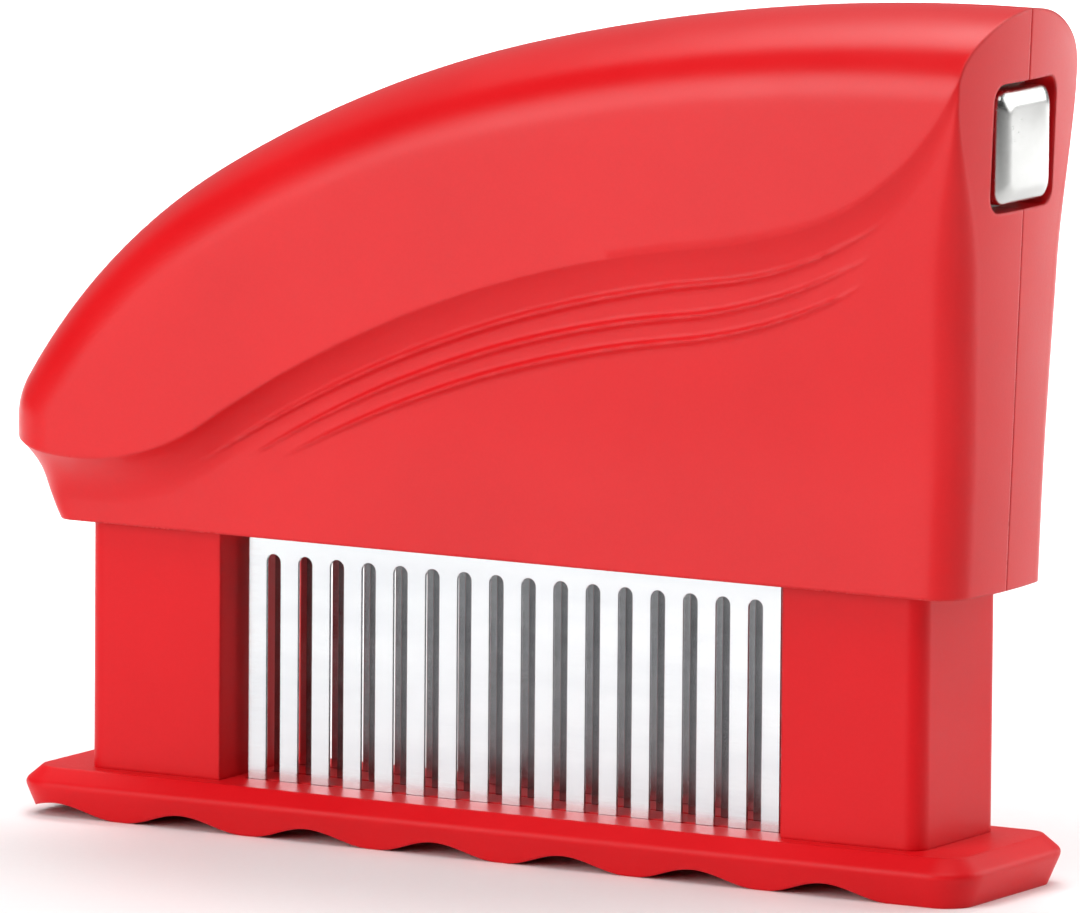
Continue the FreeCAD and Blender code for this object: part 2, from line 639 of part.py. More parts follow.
# ---- comb carrier and its pins -------------------------------------------------------------------
carrier = new_body("comb_carrier")
lift(carrier, underside)
carrier_low = carrier_recess
carrier_top = comb_top + seat_gap + carrier_roof
carrier_plan = sketch(carrier, "carrier_plan", "XY_Plane", carrier_low)
box_outline(carrier_plan, -carrier_half, carrier_half, -carrier_deep / 2, carrier_deep / 2)
feature(carrier, "Pad", "carrier_block", carrier_plan, carrier_top - carrier_low)
grooves = sketch(carrier, "carrier_grooves", "XY_Plane", carrier_low)
for row_name, row_y in comb_rows:
    box_outline(grooves, -comb_half - seat_gap, comb_half + seat_gap,
                row_y - comb_thick / 2 - groove_gap, row_y + comb_thick / 2 + groove_gap)
feature(carrier, "Pocket", "carrier_groove_cut", grooves, comb_top + seat_gap - carrier_low, reverse=True)
lug_starts = [-lug_tail_at, lug_at]
lug_top = carrier_top + lug_room + lug_cap
lugs = sketch(carrier, "latch_lugs", "XZ_Plane")
for start in lug_starts:
    outline(lugs, [(start + lug_over, carrier_top), (start + lug_over + lug_post, carrier_top),
                   (start + lug_over + lug_post, lug_top), (start, lug_top),
                   (start, carrier_top + lug_room), (start + lug_over, carrier_top + lug_room)])
feature(carrier, "Pad", "latch_lug_pad", lugs, lug_wide, both=True)
carrier_pins = sketch(carrier, "carrier_pin_holes", "XZ_Plane")
for k in (-1, 0, 1):
    disc(carrier_pins, k * pin_pitch, pin_height, pin_radius + seat_gap)
feature(carrier, "Pocket", "carrier_pin_cut", carrier_pins, both=True)
finish_piece(carrier, "comb_carrier")

pins = new_body("comb_pins")
lift(pins, underside)
pin_ends = sketch(pins, "pin_ends", "XZ_Plane")
for k in (-1, 0, 1):
    disc(pin_ends, k * pin_pitch, pin_height, pin_radius)
feature(pins, "Pad", "pin_bars", pin_ends, carrier_deep, both=True)
pins.AllowCompound = True
finish_piece(pins, "comb_pins")


# ---- housing: outer form -------------------------------------------------------------------------
def run(point, radius, slope_from, slope_to):
    """The next joint of a line of tangent arcs; a negative radius bends to the right."""
    return (point[0] + radius * (slope_to.sine() - slope_from.sine()),
            point[1] + radius * (slope_from.cosine() - slope_to.cosine()))


crest = [(-tip_x, tip_z)]
crest_arcs = [(crest_r_nose, crest_slope_tip, crest_slope_nose),
              (crest_r_low, crest_slope_nose, crest_slope_palm),
              (crest_r_palm, crest_slope_palm, crest_slope_top),
              (crest_r_top, crest_slope_top, ZERO)]
for radius, slope_from, slope_to in crest_arcs:
    crest.append(run(crest[-1], -radius, slope_from, slope_to))
fold = [(-fold_tip_x, fold_tip_z)]
fold_arcs = [(fold_r_low, fold_slope_tip, fold_slope_low), (-fold_r_mid, fold_slope_low, fold_slope_mid),
             (fold_r_turn, fold_slope_mid, fold_slope_turn), (fold_r_rise, fold_slope_turn, fold_slope_end)]
for radius, slope_from, slope_to in fold_arcs:
    fold.append(run(fold[-1], radius, slope_from, slope_to))

# the palm grip: everything under the crest line, rounded over it, then cut off along the fold line
beyond = size("beyond", 12.0, "reach of the trimming outlines past the form")
doc.recompute()
far_left, far_right = -(tip_x + 3 * beyond), crest[-1][0] + beyond
far_up, far_down = crest[-1][1] + beyond, tip_z - 3 * beyond
grip = new_body("grip_form")
lift(grip, underside)
grip_side = sketch(grip, "grip_side", "XZ_Plane")
heel = (-tip_x, tip_z - beyond)
grip_end = crest[-1][0] + beyond
outline(grip_side, [heel] + crest + [(grip_end, crest[-1][1]), (grip_end, heel[1])],
        {1: -crest_r_nose, 2: -crest_r_low, 3: -crest_r_palm, 4: -crest_r_top})
feature(grip, "Pad", "grip_pad", grip_side, 2 * grip_half, both=True)
spine = sketch(grip, "crest_line", "XZ_Plane")
outline(spine, [heel] + crest + [(grip_end, crest[-1][1])],
        {1: -crest_r_nose, 2: -crest_r_low, 3: -crest_r_palm, 4: -crest_r_top}, closed=False)


def oval(half, fall):
    """The oval over the crest: its crown's radius, and where crown and shoulder meet."""
    offset = half - grip_shoulder
    crown = (offset * offset + fall * fall - grip_shoulder * grip_shoulder) / (2 * (fall - grip_shoulder))
    reach = crown / (crown - grip_shoulder)
    return crown, crown - reach * (crown - fall), reach * offset


# the section over the crest is an oval of three tangent arcs; what lies outside it is swept away
trim = sketch(grip, "crest_section", "XY_Plane", heel[1])
trim_half, crown_x = grip_half + crown_sink, crown_sink - tip_x
crown, meet_fall, meet_y = oval(trim_half, grip_depth - crown_sink)
clear_y, clear_x = grip_half + beyond, -(tip_x + beyond / 4)
outline(trim, [(grip_depth - tip_x, -trim_half), (crown_x + meet_fall, -meet_y),
               (crown_x + meet_fall, meet_y), (grip_depth - tip_x, trim_half),
               (grip_depth - tip_x, clear_y), (clear_x, clear_y), (clear_x, -clear_y),
               (grip_depth - tip_x, -clear_y)],
        {0: -grip_shoulder, 1: -crown, 2: -grip_shoulder})
crest_cut = grip.newObject("PartDesign::SubtractivePipe", "crest_cut")
crest_cut.Profile, crest_cut.Spine = trim, spine
doc.recompute()
fold_bends = {0: fold_r_low, 1: -fold_r_mid, 2: fold_r_turn, 3: fold_r_rise}
below = sketch(grip, "below_fold", "XZ_Plane")
outline(below, fold + [(far_right, fold[-1][1]), (far_right, far_down), (far_left, far_down),
                       (far_left, fold_tip_z)], fold_bends)
feature(grip, "Pocket", "grip_trim", below, both=True)


def end_face_x(height):
    """Middle of the button end at a height."""
    return end_foot_x + end_lean * height


def bow_drop(y):
    """How far the bowed button end falls back at a distance from its middle."""
    return end_radius - (end_radius * end_radius - y * y).root()


def bow_radius(half_chord, rise):
    return (half_chord * half_chord + rise * rise) / (2 * rise)


# the panel form: plan outlines with bowed sides and a bowed end, lofted upwards with a flare
levels = [("foot", ZERO, ZERO, tail_corner), ("start", flare_start, ZERO, tail_corner_top),
          ("mid", flare_mid, flare_mid_out, tail_corner_top),
          ("top", housing_top, flare_top_out, tail_corner_top)]


def panel_form(name, more):
    """The form of the side panels, with a thickness added to each side."""
    body = new_body(name)
    lift(body, underside)
    plans = []
    c = end_corner
    for level_name, height, flare, t in levels:
        plan = sketch(body, name + "_" + level_name, "XY_Plane", height)
        back, side_y = -(tail_foot_x + tail_lean * height), panel_half + flare - panel_bow + more
        ahead = end_face_x(height) - bow_drop(side_y - c)
        side_arc = bow_radius((ahead - c - back - t) / 2, panel_bow)
        outline(plan, [(back + t, -side_y), (ahead - c, -side_y), (ahead, c - side_y), (ahead, side_y - c),
                       (ahead - c, side_y), (back + t, side_y), (back, side_y - t), (back, t - side_y)],
                {0: side_arc, 1: c, 2: end_radius, 3: c, 4: side_arc, 5: t, 7: t})
        plans.append(plan)
    loft = body.newObject("PartDesign::AdditiveLoft", name + "_loft")
    loft.Profile, loft.Sections, loft.Ruled = plans[0], plans[1:], False
    doc.recompute()
    return body


panel = panel_form("panel_form", ZERO)
# only what lies below the fold line belongs to the panels
above = sketch(panel, "above_fold", "XZ_Plane")
outline(above, fold + [(far_right, fold[-1][1]), (far_right, far_up), (far_left, far_up),
                       (far_left, fold_tip_z)], fold_bends)
feature(panel, "Pocket", "fold_trim", above, both=True)
doc.recompute()

# the grip ends in the same bowed and leaning face as the panels
end_tool = new_body("end_form")
lift(end_tool, underside)
end_plans = []
for level_name, height in (("low", ZERO), ("high", housing_top)):
    plan = sketch(end_tool, "end_" + level_name, "XY_Plane", height)
    wide = grip_half + end_corner
    ahead = end_face_x(height) - bow_drop(wide) - seat_gap
    outline(plan, [(far_left, -wide), (ahead, -wide), (ahead, wide), (far_left, wide)], {1: end_radius})
    end_plans.append(plan)
end_loft = end_tool.newObject("PartDesign::AdditiveLoft", "end_loft")
end_loft.Profile, end_loft.Sections, end_loft.Ruled = end_plans[0], [end_plans[1]], True
doc.recompute()
grip_trimmed = combine("Common", "grip_trimmed", grip, end_tool)

# a cove runs under the fold: a concave fillet swept along the fold line, both ways from its lowest point,
# and kept inside the plan of the nose and the button end
fold_low = run(fold[0], fold_r_low, fold_slope_tip, ZERO)
cove = new_body("cove_form")
lift(cove, underside)
cove_section = sketch(cove, "cove_section", "YZ_Plane", fold_low[0])
cove_half = grip_half
cove_radius = bow_radius(cove_high, cove_half - cove_foot)
outline(cove_section, [(-cove_half, fold_low[1] + cove_lap), (-cove_half, fold_low[1]),
                       (-cove_foot, fold_low[1] - cove_high), (cove_foot, fold_low[1] - cove_high),
                       (cove_half, fold_low[1]), (cove_half, fold_low[1] + cove_lap)],
        {1: -cove_radius, 3: -cove_radius})
cove_lines = [("rising", [fold_low] + fold[1:], fold_bends), ("nose", [fold_low, fold[0]], {0: -fold_r_low})]
for part, points, bends in cove_lines:
    cove_line = sketch(cove, "cove_line_" + part, "XZ_Plane")
    outline(cove_line, points, bends, closed=False)
    cove_run = cove.newObject("PartDesign::AdditivePipe", "cove_" + part)
    cove_run.Profile, cove_run.Spine = cove_section, cove_line
doc.recompute()
plan_limit = new_body("plan_limit")
lift(plan_limit, underside)
limit_half = grip_half
crown, meet_fall, meet_y = oval(limit_half, grip_depth - seat_gap)
nose_lean = (tip_x - tail_foot_x) / tip_z
limit_plans = []
for level_name, height in (("low", ZERO), ("high", housing_top)):
    plan = sketch(plan_limit, "limit_" + level_name, "XY_Plane", height)
    c = end_corner
    ahead = end_face_x(height) - bow_drop(limit_half - c) - seat_gap
    nose = seat_gap - tail_foot_x - nose_lean * height
    foot = nose + grip_depth - seat_gap
    outline(plan, [(foot, -limit_half), (nose + meet_fall, -meet_y), (nose + meet_fall, meet_y),
                   (foot, limit_half), (ahead - c, limit_half), (ahead, limit_half - c),
                   (ahead, c - limit_half), (ahead - c, -limit_half)],
            {0: -grip_shoulder, 1: -crown, 2: -grip_shoulder, 4: -c, 5: -end_radius, 6: -c})
    limit_plans.append(plan)
limit_loft = plan_limit.newObject("PartDesign::AdditiveLoft", "limit_loft")
limit_loft.Profile, limit_loft.Sections, limit_loft.Ruled = limit_plans[0], [limit_plans[1]], True
doc.recompute()
cove_trimmed = combine("Common", "cove_trimmed", cove, plan_limit)

# three raised ridges run along each panel below the fold and taper out at both ends
ridge_skin = panel_form("ridge_skin", ridge_proud)
ridge_lines = new_body("ridge_lines")
lift(ridge_lines, underside)
ridge_side = sketch(ridge_lines, "ridge_side", "XZ_Plane")
for start, radius_low, radius_high, slopes in ridges:
    joint = run(start, -radius_low, slopes[0], slopes[1])
    end = run(joint, radius_high, slopes[1], slopes[2])
    aside_x, aside_z = ridge_half * slopes[1].sine(), ridge_half * slopes[1].cosine()
    outline(ridge_side, [start, (joint[0] + aside_x, joint[1] - aside_z), end,
                         (joint[0] - aside_x, joint[1] + aside_z)],
            {0: -radius_low, 1: radius_high, 2: -radius_high, 3: radius_low})
ridge_lines.AllowCompound = True
feature(ridge_lines, "Pad", "ridge_bars", ridge_side, 2 * (grip_half + beyond), both=True)
panel_ridges = combine("Common", "panel_ridges", ridge_skin, ridge_lines)
form = fuse("housing_form", [panel, grip_trimmed, cove_trimmed, panel_ridges])
doc.recompute()

# ---- housing: inner space, with its ribs and bosses left standing ---------------------------------
void = new_body("housing_void")
lift(void, underside)


def inset(joint, slope):
    """A crest joint moved square to the crest line by the roof's thickness."""
    return joint[0] + roof_wall * slope.sine(), joint[1] - roof_wall * slope.cosine()


end_inner_low = end_face_x(shell_floor) - end_wall
end_inner_top = end_face_x(crest[-1][1]) - end_wall
room = sketch(void, "room", "XZ_Plane")
outline(room, [(-(tail_foot_x + tail_lean * shell_floor - tail_wall), shell_floor),
               inset(crest[1], crest_slope_nose), inset(crest[2], crest_slope_palm),
               inset(crest[3], crest_slope_top), (end_inner_top, crest[-1][1] - roof_wall * 1.05),
               (end_inner_low, shell_floor)],
        {1: roof_wall - crest_r_low, 2: roof_wall - crest_r_palm})
feature(void, "Pad", "room_pad", room, 2 * cavity_half, both=True)
windows = sketch(void, "column_windows", "XY_Plane")
for side in (-1, 1):
    near, away = column_inner - slide_gap, column_inner + column_wide + slide_gap
    half, corner = column_deep / 2 + slide_gap, column_corner + slide_gap
    outline(windows, mirrored([(near, -half), (away - corner, -half), (away, corner - half),
                               (away, half - corner), (away - corner, half), (near, half)], side),
            {1: side * corner, 3: side * corner})
window_long, window_wide = carrier_half + carrier_gap, carrier_deep / 2 + carrier_gap
box_outline(windows, -window_long, window_long, -window_wide, window_wide)
feature(void, "Pad", "window_pad", windows, 2 * (shell_floor + seat_gap), both=True)
recess = sketch(void, "button_recess", "YZ_Plane", end_foot_x - 2 * end_wall)
round_box(recess, -recess_wide / 2, recess_wide / 2, button_level - recess_high / 2,
          button_level + recess_high / 2, recess_corner)
feature(void, "Pad", "recess_pad", recess, 2 * end_wall + beyond)

shelves = sketch(void, "spring_shelves", "XY_Plane", shelf_low)
for side in (-1, 1):
    box_outline(shelves, side * rod_at - shelf_half, side * rod_at + shelf_half, -cavity_half, cavity_half)
    disc(shelves, side * rod_at, ZERO, rod_radius + seat_gap)
feature(void, "Pocket", "shelf_left_standing", shelves, shelf_thick, reverse=True)
bosses = sketch(void, "screw_bosses", "XZ_Plane")
for boss_x, boss_z in boss_spots.values():
    disc(bosses, boss_x, boss_z, boss_radius)
feature(void, "Pocket", "bosses_left_standing", bosses, both=True)
ribs = sketch(void, "carrier_stops", "XZ_Plane")
for side in (-1, 1):
    box_outline(ribs, side * rib_at - rib_thick / 2, side * rib_at + rib_thick / 2, carrier_top + seat_gap,
                far_up)
feature(void, "Pocket", "ribs_left_standing", ribs, both=True)
runner_low = lug_top + runner_gap
runner_way = sketch(void, "runner_way", "YZ_Plane", -(rib_at + rib_thick))
box_outline(runner_way, -bar_wide / 2 - runner_gap, bar_wide / 2 + runner_gap, runner_low - runner_gap,
            runner_low + runner_high + runner_gap)
feature(void, "Pad", "runner_way_pad", runner_way, 2 * (rib_at + rib_thick))
guide_wall = sketch(void, "plunger_guide", "YZ_Plane", guide_at)
box_outline(guide_wall, -cavity_half, cavity_half, button_level - bar_high * 1.5, far_up)
box_outline(guide_wall, -bar_wide / 2 - guide_gap, bar_wide / 2 + guide_gap,
            button_level - bar_high / 2 - guide_gap, button_level + bar_high / 2 + guide_gap)
feature(void, "Pocket", "guide_left_standing", guide_wall, guide_thick, reverse=True)
doc.recompute()
housing = combine("Cut", "housing_hollow", form, void)


# ---- housing: two shells and their screws ----------------------------------------------------------
def half_space(name, front):
    box = doc.addObject("Part::Box", name)
    deep = grip_half + beyond
    for prop, value in (("Length", 2 * (tip_x + 3 * beyond)), ("Width", deep - seam / 2),
                        ("Height", far_up - far_down)):
        box.setExpression(prop, value.t)
    move(box, centre_shift + far_left, -deep if front else seam / 2, underside + far_down)
    return box


def across(name, parts_of):
    """Round bars across the shells at each boss: (name, start y, length, radius)."""
    body = new_body(name)
    lift(body, underside)
    for part, start, length, radius in parts_of:
        ring = sketch(body, name + "_" + part, "XZ_Plane", -start)
        for boss_x, boss_z in boss_spots.values():
            disc(ring, boss_x, boss_z, radius)
        body.AllowCompound = True
        feature(body, "Pad", name + "_" + part + "_pad", ring, length, reverse=True)
    return body


pilot_low = -(shell_screw_bite + pilot_more)
pilots = across("pilot_tool", [("pilot", pilot_low, pilot_more - pilot_low, screw_radius + seat_gap)])
through = across("through_tool",
                 [("shank", -pilot_more, shell_screw_seat + pilot_more, screw_radius + screw_gap),
                  ("head", shell_screw_seat, grip_half + beyond, screw_head + screw_gap)])
shell_screws = across("shell_screws",
                      [("shank", -shell_screw_bite, shell_screw_bite + shell_screw_seat + seat_gap,
                        screw_radius),
                       ("head", shell_screw_seat + seat_gap, screw_head_high, screw_head)])
front_half = combine("Common", "front_half", housing, half_space("front_space", True))
rear_half = combine("Common", "rear_half", housing, half_space("rear_space", False))
doc.recompute()
finish_piece(combine("Cut", "front_shell", front_half, pilots), "front_shell")
finish_piece(combine("Cut", "rear_shell", rear_half, through), "rear_shell")
finish_piece(shell_screws, "shell_screws")

foot_screws = new_body("column_screws")
foot_screws.AllowCompound = True
foot_shanks = sketch(foot_screws, "foot_shanks", "XY_Plane", foot_screw_sink)
foot_heads = sketch(foot_screws, "foot_heads", "XY_Plane", foot_screw_sink - screw_head_high)
for x in screw_places:
    disc(foot_shanks, x, ZERO, screw_radius)
    disc(foot_heads, x, ZERO, screw_head)
feature(foot_screws, "Pad", "foot_shank_pad", foot_shanks, foot_screw_long)
feature(foot_screws, "Pad", "foot_head_pad", foot_heads, screw_head_high)
finish_piece(foot_screws, "column_screws")

# ---- release button ------------------------------------------------------------------------------
flange_face = end_face_x(button_level - recess_high) - end_wall - flange_gap
flange_back = flange_face - flange_thick
plunger = new_body("button_plunger")
lift(plunger, underside)
flange = sketch(plunger, "flange", "YZ_Plane", flange_back)
round_box(flange, -recess_wide / 2 - flange_more, recess_wide / 2 + flange_more,
          button_level - recess_high / 2 - flange_more, button_level + recess_high / 2 + flange_more,
          recess_corner)
feature(plunger, "Pad", "flange_pad", flange, flange_thick)
lever = sketch(plunger, "lever", "XZ_Plane")
hook_top = carrier_top + lug_room - hook_gap
hook_low = hook_top - hook_high
runner_top = runner_low + runner_high
tail_arm, end_arm = [start - arm_back - arm_long for start in lug_starts]
tail_tip, end_tip = [start + lug_over - hook_play for start in lug_starts]
outline(lever, [(tail_arm, hook_low), (tail_tip, hook_low), (tail_tip, hook_top),
                (tail_arm + arm_long, hook_top), (tail_arm + arm_long, runner_low), (end_arm, runner_low),
                (end_arm, hook_low), (end_tip, hook_low), (end_tip, hook_top),
                (end_arm + arm_long, hook_top), (end_arm + arm_long, button_level - bar_high / 2),
                (flange_back, button_level - bar_high / 2), (flange_back, button_level + bar_high / 2),
                (end_arm, button_level + bar_high / 2), (end_arm, runner_top), (tail_arm, runner_top)])
feature(plunger, "Pad", "lever_pad", lever, bar_wide, both=True)
small_spots = [(side * small_y, button_level + side * small_z) for side in (-1, 1)]


def small_discs(body, name, start, radius):
    drawing = sketch(body, name, "YZ_Plane", start)
    for y, z in small_spots:
        disc(drawing, y, z, radius)
    return drawing


feature(plunger, "Pocket", "flange_holes",
        small_discs(plunger, "flange_hole_rings", flange_back, small_screw + screw_gap), 2 * flange_thick,
        reverse=True)
finish_piece(plunger, "button_plunger")

button = new_body("button_cap")
lift(button, underside)
button_back = flange_face + seat_gap
button_face = sketch(button, "button_face", "YZ_Plane", button_back)
round_box(button_face, -button_wide / 2, button_wide / 2, button_level - button_high / 2,
          button_level + button_high / 2, button_corner)
button_pad = feature(button, "Pad", "button_pad", button_face, button_face_x - button_back)
doc.recompute()
rim = ["Edge%d" % (i + 1) for i, edge in enumerate(button_pad.Shape.Edges)
       if all(abs(v.X - button_face_x.v) < 1e-6 for v in edge.Vertexes)]
button_soft = button.newObject("PartDesign::Fillet", "button_soft")
button_soft.Base = (button_pad, rim)
button_soft.setExpression("Radius", button_round.t)
feature(button, "Pocket", "button_screw_holes",
        small_discs(button, "button_hole_rings", button_back, small_screw + seat_gap),
        small_bite + pilot_more / 2, reverse=True)
finish_piece(button, "button_cap")

small_screws = new_body("button_screws")
lift(small_screws, underside)
small_screws.AllowCompound = True
feature(small_screws, "Pad", "small_shanks",
        small_discs(small_screws, "small_shank_rings", flange_back, small_screw),
        flange_thick + seat_gap + small_bite)
feature(small_screws, "Pad", "small_heads",
        small_discs(small_screws, "small_head_rings", flange_back - small_head_high, small_head),
        small_head_high)
finish_piece(small_screws, "button_screws")

spring_seat = guide_at + guide_thick
coil("button_spring", spring_seat, underside + button_level, return_radius, return_wire, return_turns,
     flange_back - spring_seat, "X")

# ---- check and write -----------------------------------------------------------------------------
doc.recompute()
failed = [item.Label for item in doc.Objects if {"Invalid", "Error"} & set(item.State)]
if failed:
    raise RuntimeError("not built: " + ", ".join(failed))
for item, name in nodes:
    if item.Shape.isNull() or not item.Shape.isValid() or not item.Shape.Solids:
        raise RuntimeError("bad shape: " + name)
os.makedirs("parts", exist_ok=True)
for item, name in nodes:
    item.Shape.exportStep("parts/%s.step" % name)
    print("%-20s %9.1f mm3  %d solid(s)" % (name, item.Shape.Volume, len(item.Shape.Solids)))
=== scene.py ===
# %% [markdown]
# # Dressing a blade meat tenderizer
#
# The tool is a palm grip over three combs of steel blades.  The grip slides down two hollow columns
# that stand on a slotted, scalloped guard plate, and springs lift it again.  The exact model of every
# piece is loaded first.  The cells after it add what an exact model leaves out: the light, the
# finishes, and the surfaces whose soft changes of curve are easier to work out on a grid than to cut
# from a solid.

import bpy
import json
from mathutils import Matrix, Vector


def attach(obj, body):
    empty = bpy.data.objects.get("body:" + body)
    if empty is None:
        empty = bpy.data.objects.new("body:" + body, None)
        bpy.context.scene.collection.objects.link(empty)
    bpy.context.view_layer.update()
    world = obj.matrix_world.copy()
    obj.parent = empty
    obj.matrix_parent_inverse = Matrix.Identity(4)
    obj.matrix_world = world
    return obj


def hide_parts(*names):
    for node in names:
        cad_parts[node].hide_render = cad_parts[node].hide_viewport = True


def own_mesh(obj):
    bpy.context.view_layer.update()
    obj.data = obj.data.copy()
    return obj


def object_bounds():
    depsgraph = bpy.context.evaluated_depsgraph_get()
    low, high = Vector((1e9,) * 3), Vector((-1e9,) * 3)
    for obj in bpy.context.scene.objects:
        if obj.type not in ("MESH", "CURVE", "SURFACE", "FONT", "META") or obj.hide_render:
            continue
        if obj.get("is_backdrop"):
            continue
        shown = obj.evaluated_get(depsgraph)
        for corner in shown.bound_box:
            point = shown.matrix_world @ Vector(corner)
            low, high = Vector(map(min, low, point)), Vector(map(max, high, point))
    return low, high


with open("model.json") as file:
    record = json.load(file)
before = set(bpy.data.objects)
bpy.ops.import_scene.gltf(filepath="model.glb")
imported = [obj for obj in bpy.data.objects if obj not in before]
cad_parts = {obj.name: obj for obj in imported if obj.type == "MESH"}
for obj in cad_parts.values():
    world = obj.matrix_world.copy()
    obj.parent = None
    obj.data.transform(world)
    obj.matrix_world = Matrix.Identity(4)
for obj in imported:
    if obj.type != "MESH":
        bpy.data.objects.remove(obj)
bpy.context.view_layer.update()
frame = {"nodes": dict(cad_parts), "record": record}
nodes = frame["nodes"]

# %% Tools for arrays and meshes
import json

import bpy
import numpy as np
from mathutils import Matrix, Vector

MM = 0.001
print("a millimetre is", MM, "m")

# %% [markdown]
# ## The camera
#
# A catalogue camera stands far away and uses a long lens, so upright edges stay upright.  Its place
# could be typed in as three coordinates, but an angle round the tool, an angle above the table and a
# distance say what is meant: a little to the right of the front, a little above, two metres off.

# %% Camera
AROUND, ABOVE, ROLL = 0.525968, 0.140825, 0.0079123  # radians
DISTANCE = 2165.766 * MM
SENSOR_WIDE = 36.0  # in millimetres, as a lens is
PICTURE_WIDE, FOCAL_PICTURE = 1080, 14905.72  # both in pixels
ROWS_MIDDLE = 2.25 * MM  # the middle of the blade rows, along the tool
LOOKS_AT = Vector((ROWS_MIDDLE + 0.5465 * MM, -0.9 * MM, 57.649 * MM))


def direction(around, above):
    """The unit vector at an angle round the tool from its front and one above the table, in radians."""
    return Vector((np.sin(around) * np.cos(above), -np.cos(around) * np.cos(above), np.sin(above)))


back = direction(AROUND, ABOVE)
sideways = Vector((0, 0, 1)).cross(back).normalized()
rise = back.cross(sideways)
across = np.cos(ROLL) * sideways + np.sin(ROLL) * rise
upward = np.cos(ROLL) * rise - np.sin(ROLL) * sideways

lens = bpy.data.cameras.new("camera")
lens.sensor_width = SENSOR_WIDE
lens.lens = FOCAL_PICTURE / PICTURE_WIDE * SENSOR_WIDE
lens.clip_start, lens.clip_end = 0.1, 50.0
camera = bpy.data.objects.new("camera", lens)
bpy.context.scene.collection.objects.link(camera)
turn = Matrix((across, upward, back)).transposed().to_4x4()
camera.matrix_world = Matrix.Translation(LOOKS_AT + DISTANCE * back) @ turn
bpy.context.scene.camera = camera
bpy.context.scene.view_settings.view_transform = "Standard"
print("camera at", [round(v, 3) for v in camera.location], "lens", round(lens.lens, 1), "mm")

# %% [markdown]
# ## A short way to write materials
#
# A material is a small graph of nodes.  Written out in full, each node takes four or five lines, which
# hides the idea.  Two helpers keep the recipes short: `add` makes a node, sets its values and joins its
# inputs, and `finish` starts a material with its shader.  A value that is the same all over is set on
# the shader itself.

# %% Material helpers


def add(tree, kind, _out=0, _set=None, **inputs):
    """One node of a graph: its settings, its inputs as numbers or as sockets to join, and its output."""
    node = tree.nodes.new(kind)
    for name, value in (_set or {}).items():
        setattr(node, name, value)
    for name, value in inputs.items():
        socket = node.inputs[int(name[1:]) if name[1:].isdigit() else name.replace("_", " ")]
        if isinstance(value, bpy.types.NodeSocket):
            tree.links.new(value, socket)
        else:
            socket.default_value = value
    return node.outputs[_out]


def finish(name, **values):
    """A new material, its graph and its shader, with the values that are the same all over."""
    material = bpy.data.materials.new(name)
    material.use_nodes = True
    shader = material.node_tree.nodes["Principled BSDF"]
    for key, value in values.items():
        shader.inputs[key.replace("_", " ")].default_value = value
    return material, material.node_tree, shader


def noise(tree, place, scale, detail=2.0, rough=0.5):
    """Soft grey noise from 0 to 1, about 1/scale metres from blot to blot."""
    return add(tree, "ShaderNodeTexNoise", Vector=place, Scale=scale, Detail=detail, Roughness=rough)


def between(tree, value, low, high, to_low=0.0, to_high=1.0):
    """A value taken from one range to another, and held at its ends."""
    return add(tree, "ShaderNodeMapRange", Value=value, From_Min=low, From_Max=high,
               To_Min=to_low, To_Max=to_high)


def mixed(tree, amount, first, second):
    """A colour between two colours."""
    return add(tree, "ShaderNodeMix", 2, {"data_type": "RGBA"}, i0=amount, i6=first, i7=second)


def sums(tree, kind, first, second):
    """One sum on two numbers: ADD, MULTIPLY, SUBTRACT and so on."""
    return add(tree, "ShaderNodeMath", 0, {"operation": kind}, i0=first, i1=second)


print("helpers ready")

# %% [markdown]
# ## The table and the studio
#
# A catalogue picture of a glossy tool is mostly a picture of its lights.  A big soft box to the left
# makes the long sheen along the grip and fills the blades, one behind the right shoulder lights the end
# with the button, and one overhead draws the crest.  A fourth lights only the table behind the tool.
# The room stays bright behind the tool and dim behind the camera, so the edges that face the camera
# keep their colour.  Small hard lamps would be simpler, but plastic and steel would show them as sharp
# spots.

# %% Table
TABLE_HALF = 8.0
table_corners = [(x * TABLE_HALF, y * TABLE_HALF, 0) for x, y in ((-1, -1), (1, -1), (1, 1), (-1, 1))]
table_mesh = bpy.data.meshes.new("table")
table_mesh.from_pydata(table_corners, [], [(0, 1, 2, 3)])
table = bpy.data.objects.new("table", table_mesh)
bpy.context.scene.collection.objects.link(table)
table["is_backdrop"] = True

card, tree, shader = finish("white_card", Roughness=0.55)
place = add(tree, "ShaderNodeTexCoord", 3)
fibre = noise(tree, place, 900.0, 3.0)
tree.links.new(mixed(tree, fibre, (0.87, 0.87, 0.87, 1), (0.9, 0.9, 0.9, 1)), shader.inputs["Base Color"])
relief = add(tree, "ShaderNodeBump", Strength=0.05, Distance=0.0002, Height=fibre)
tree.links.new(relief, shader.inputs["Normal"])
table_mesh.materials.append(card)
print("table", 2 * TABLE_HALF, "m wide")

# %% Room
GLOW_FROM, DIM, BRIGHT = 0.6, 0.05, 0.35
room = bpy.data.worlds.new("studio")
bpy.context.scene.world = room
room.use_nodes = True
tree = room.node_tree
backdrop = direction(AROUND + np.pi, 0.0)
way = add(tree, "ShaderNodeTexCoord", 0)
facing = add(tree, "ShaderNodeVectorMath", 1, {"operation": "DOT_PRODUCT"}, i0=way, i1=tuple(backdrop))
light = between(tree, facing, GLOW_FROM, 1.0, DIM, BRIGHT)
tree.links.new(light, tree.nodes["Background"].inputs["Strength"])
tree.nodes["Background"].inputs["Color"].default_value = (1, 1, 1, 1)
print("room: strength", DIM, "behind the camera,", BRIGHT, "behind the tool")

# %% Soft boxes


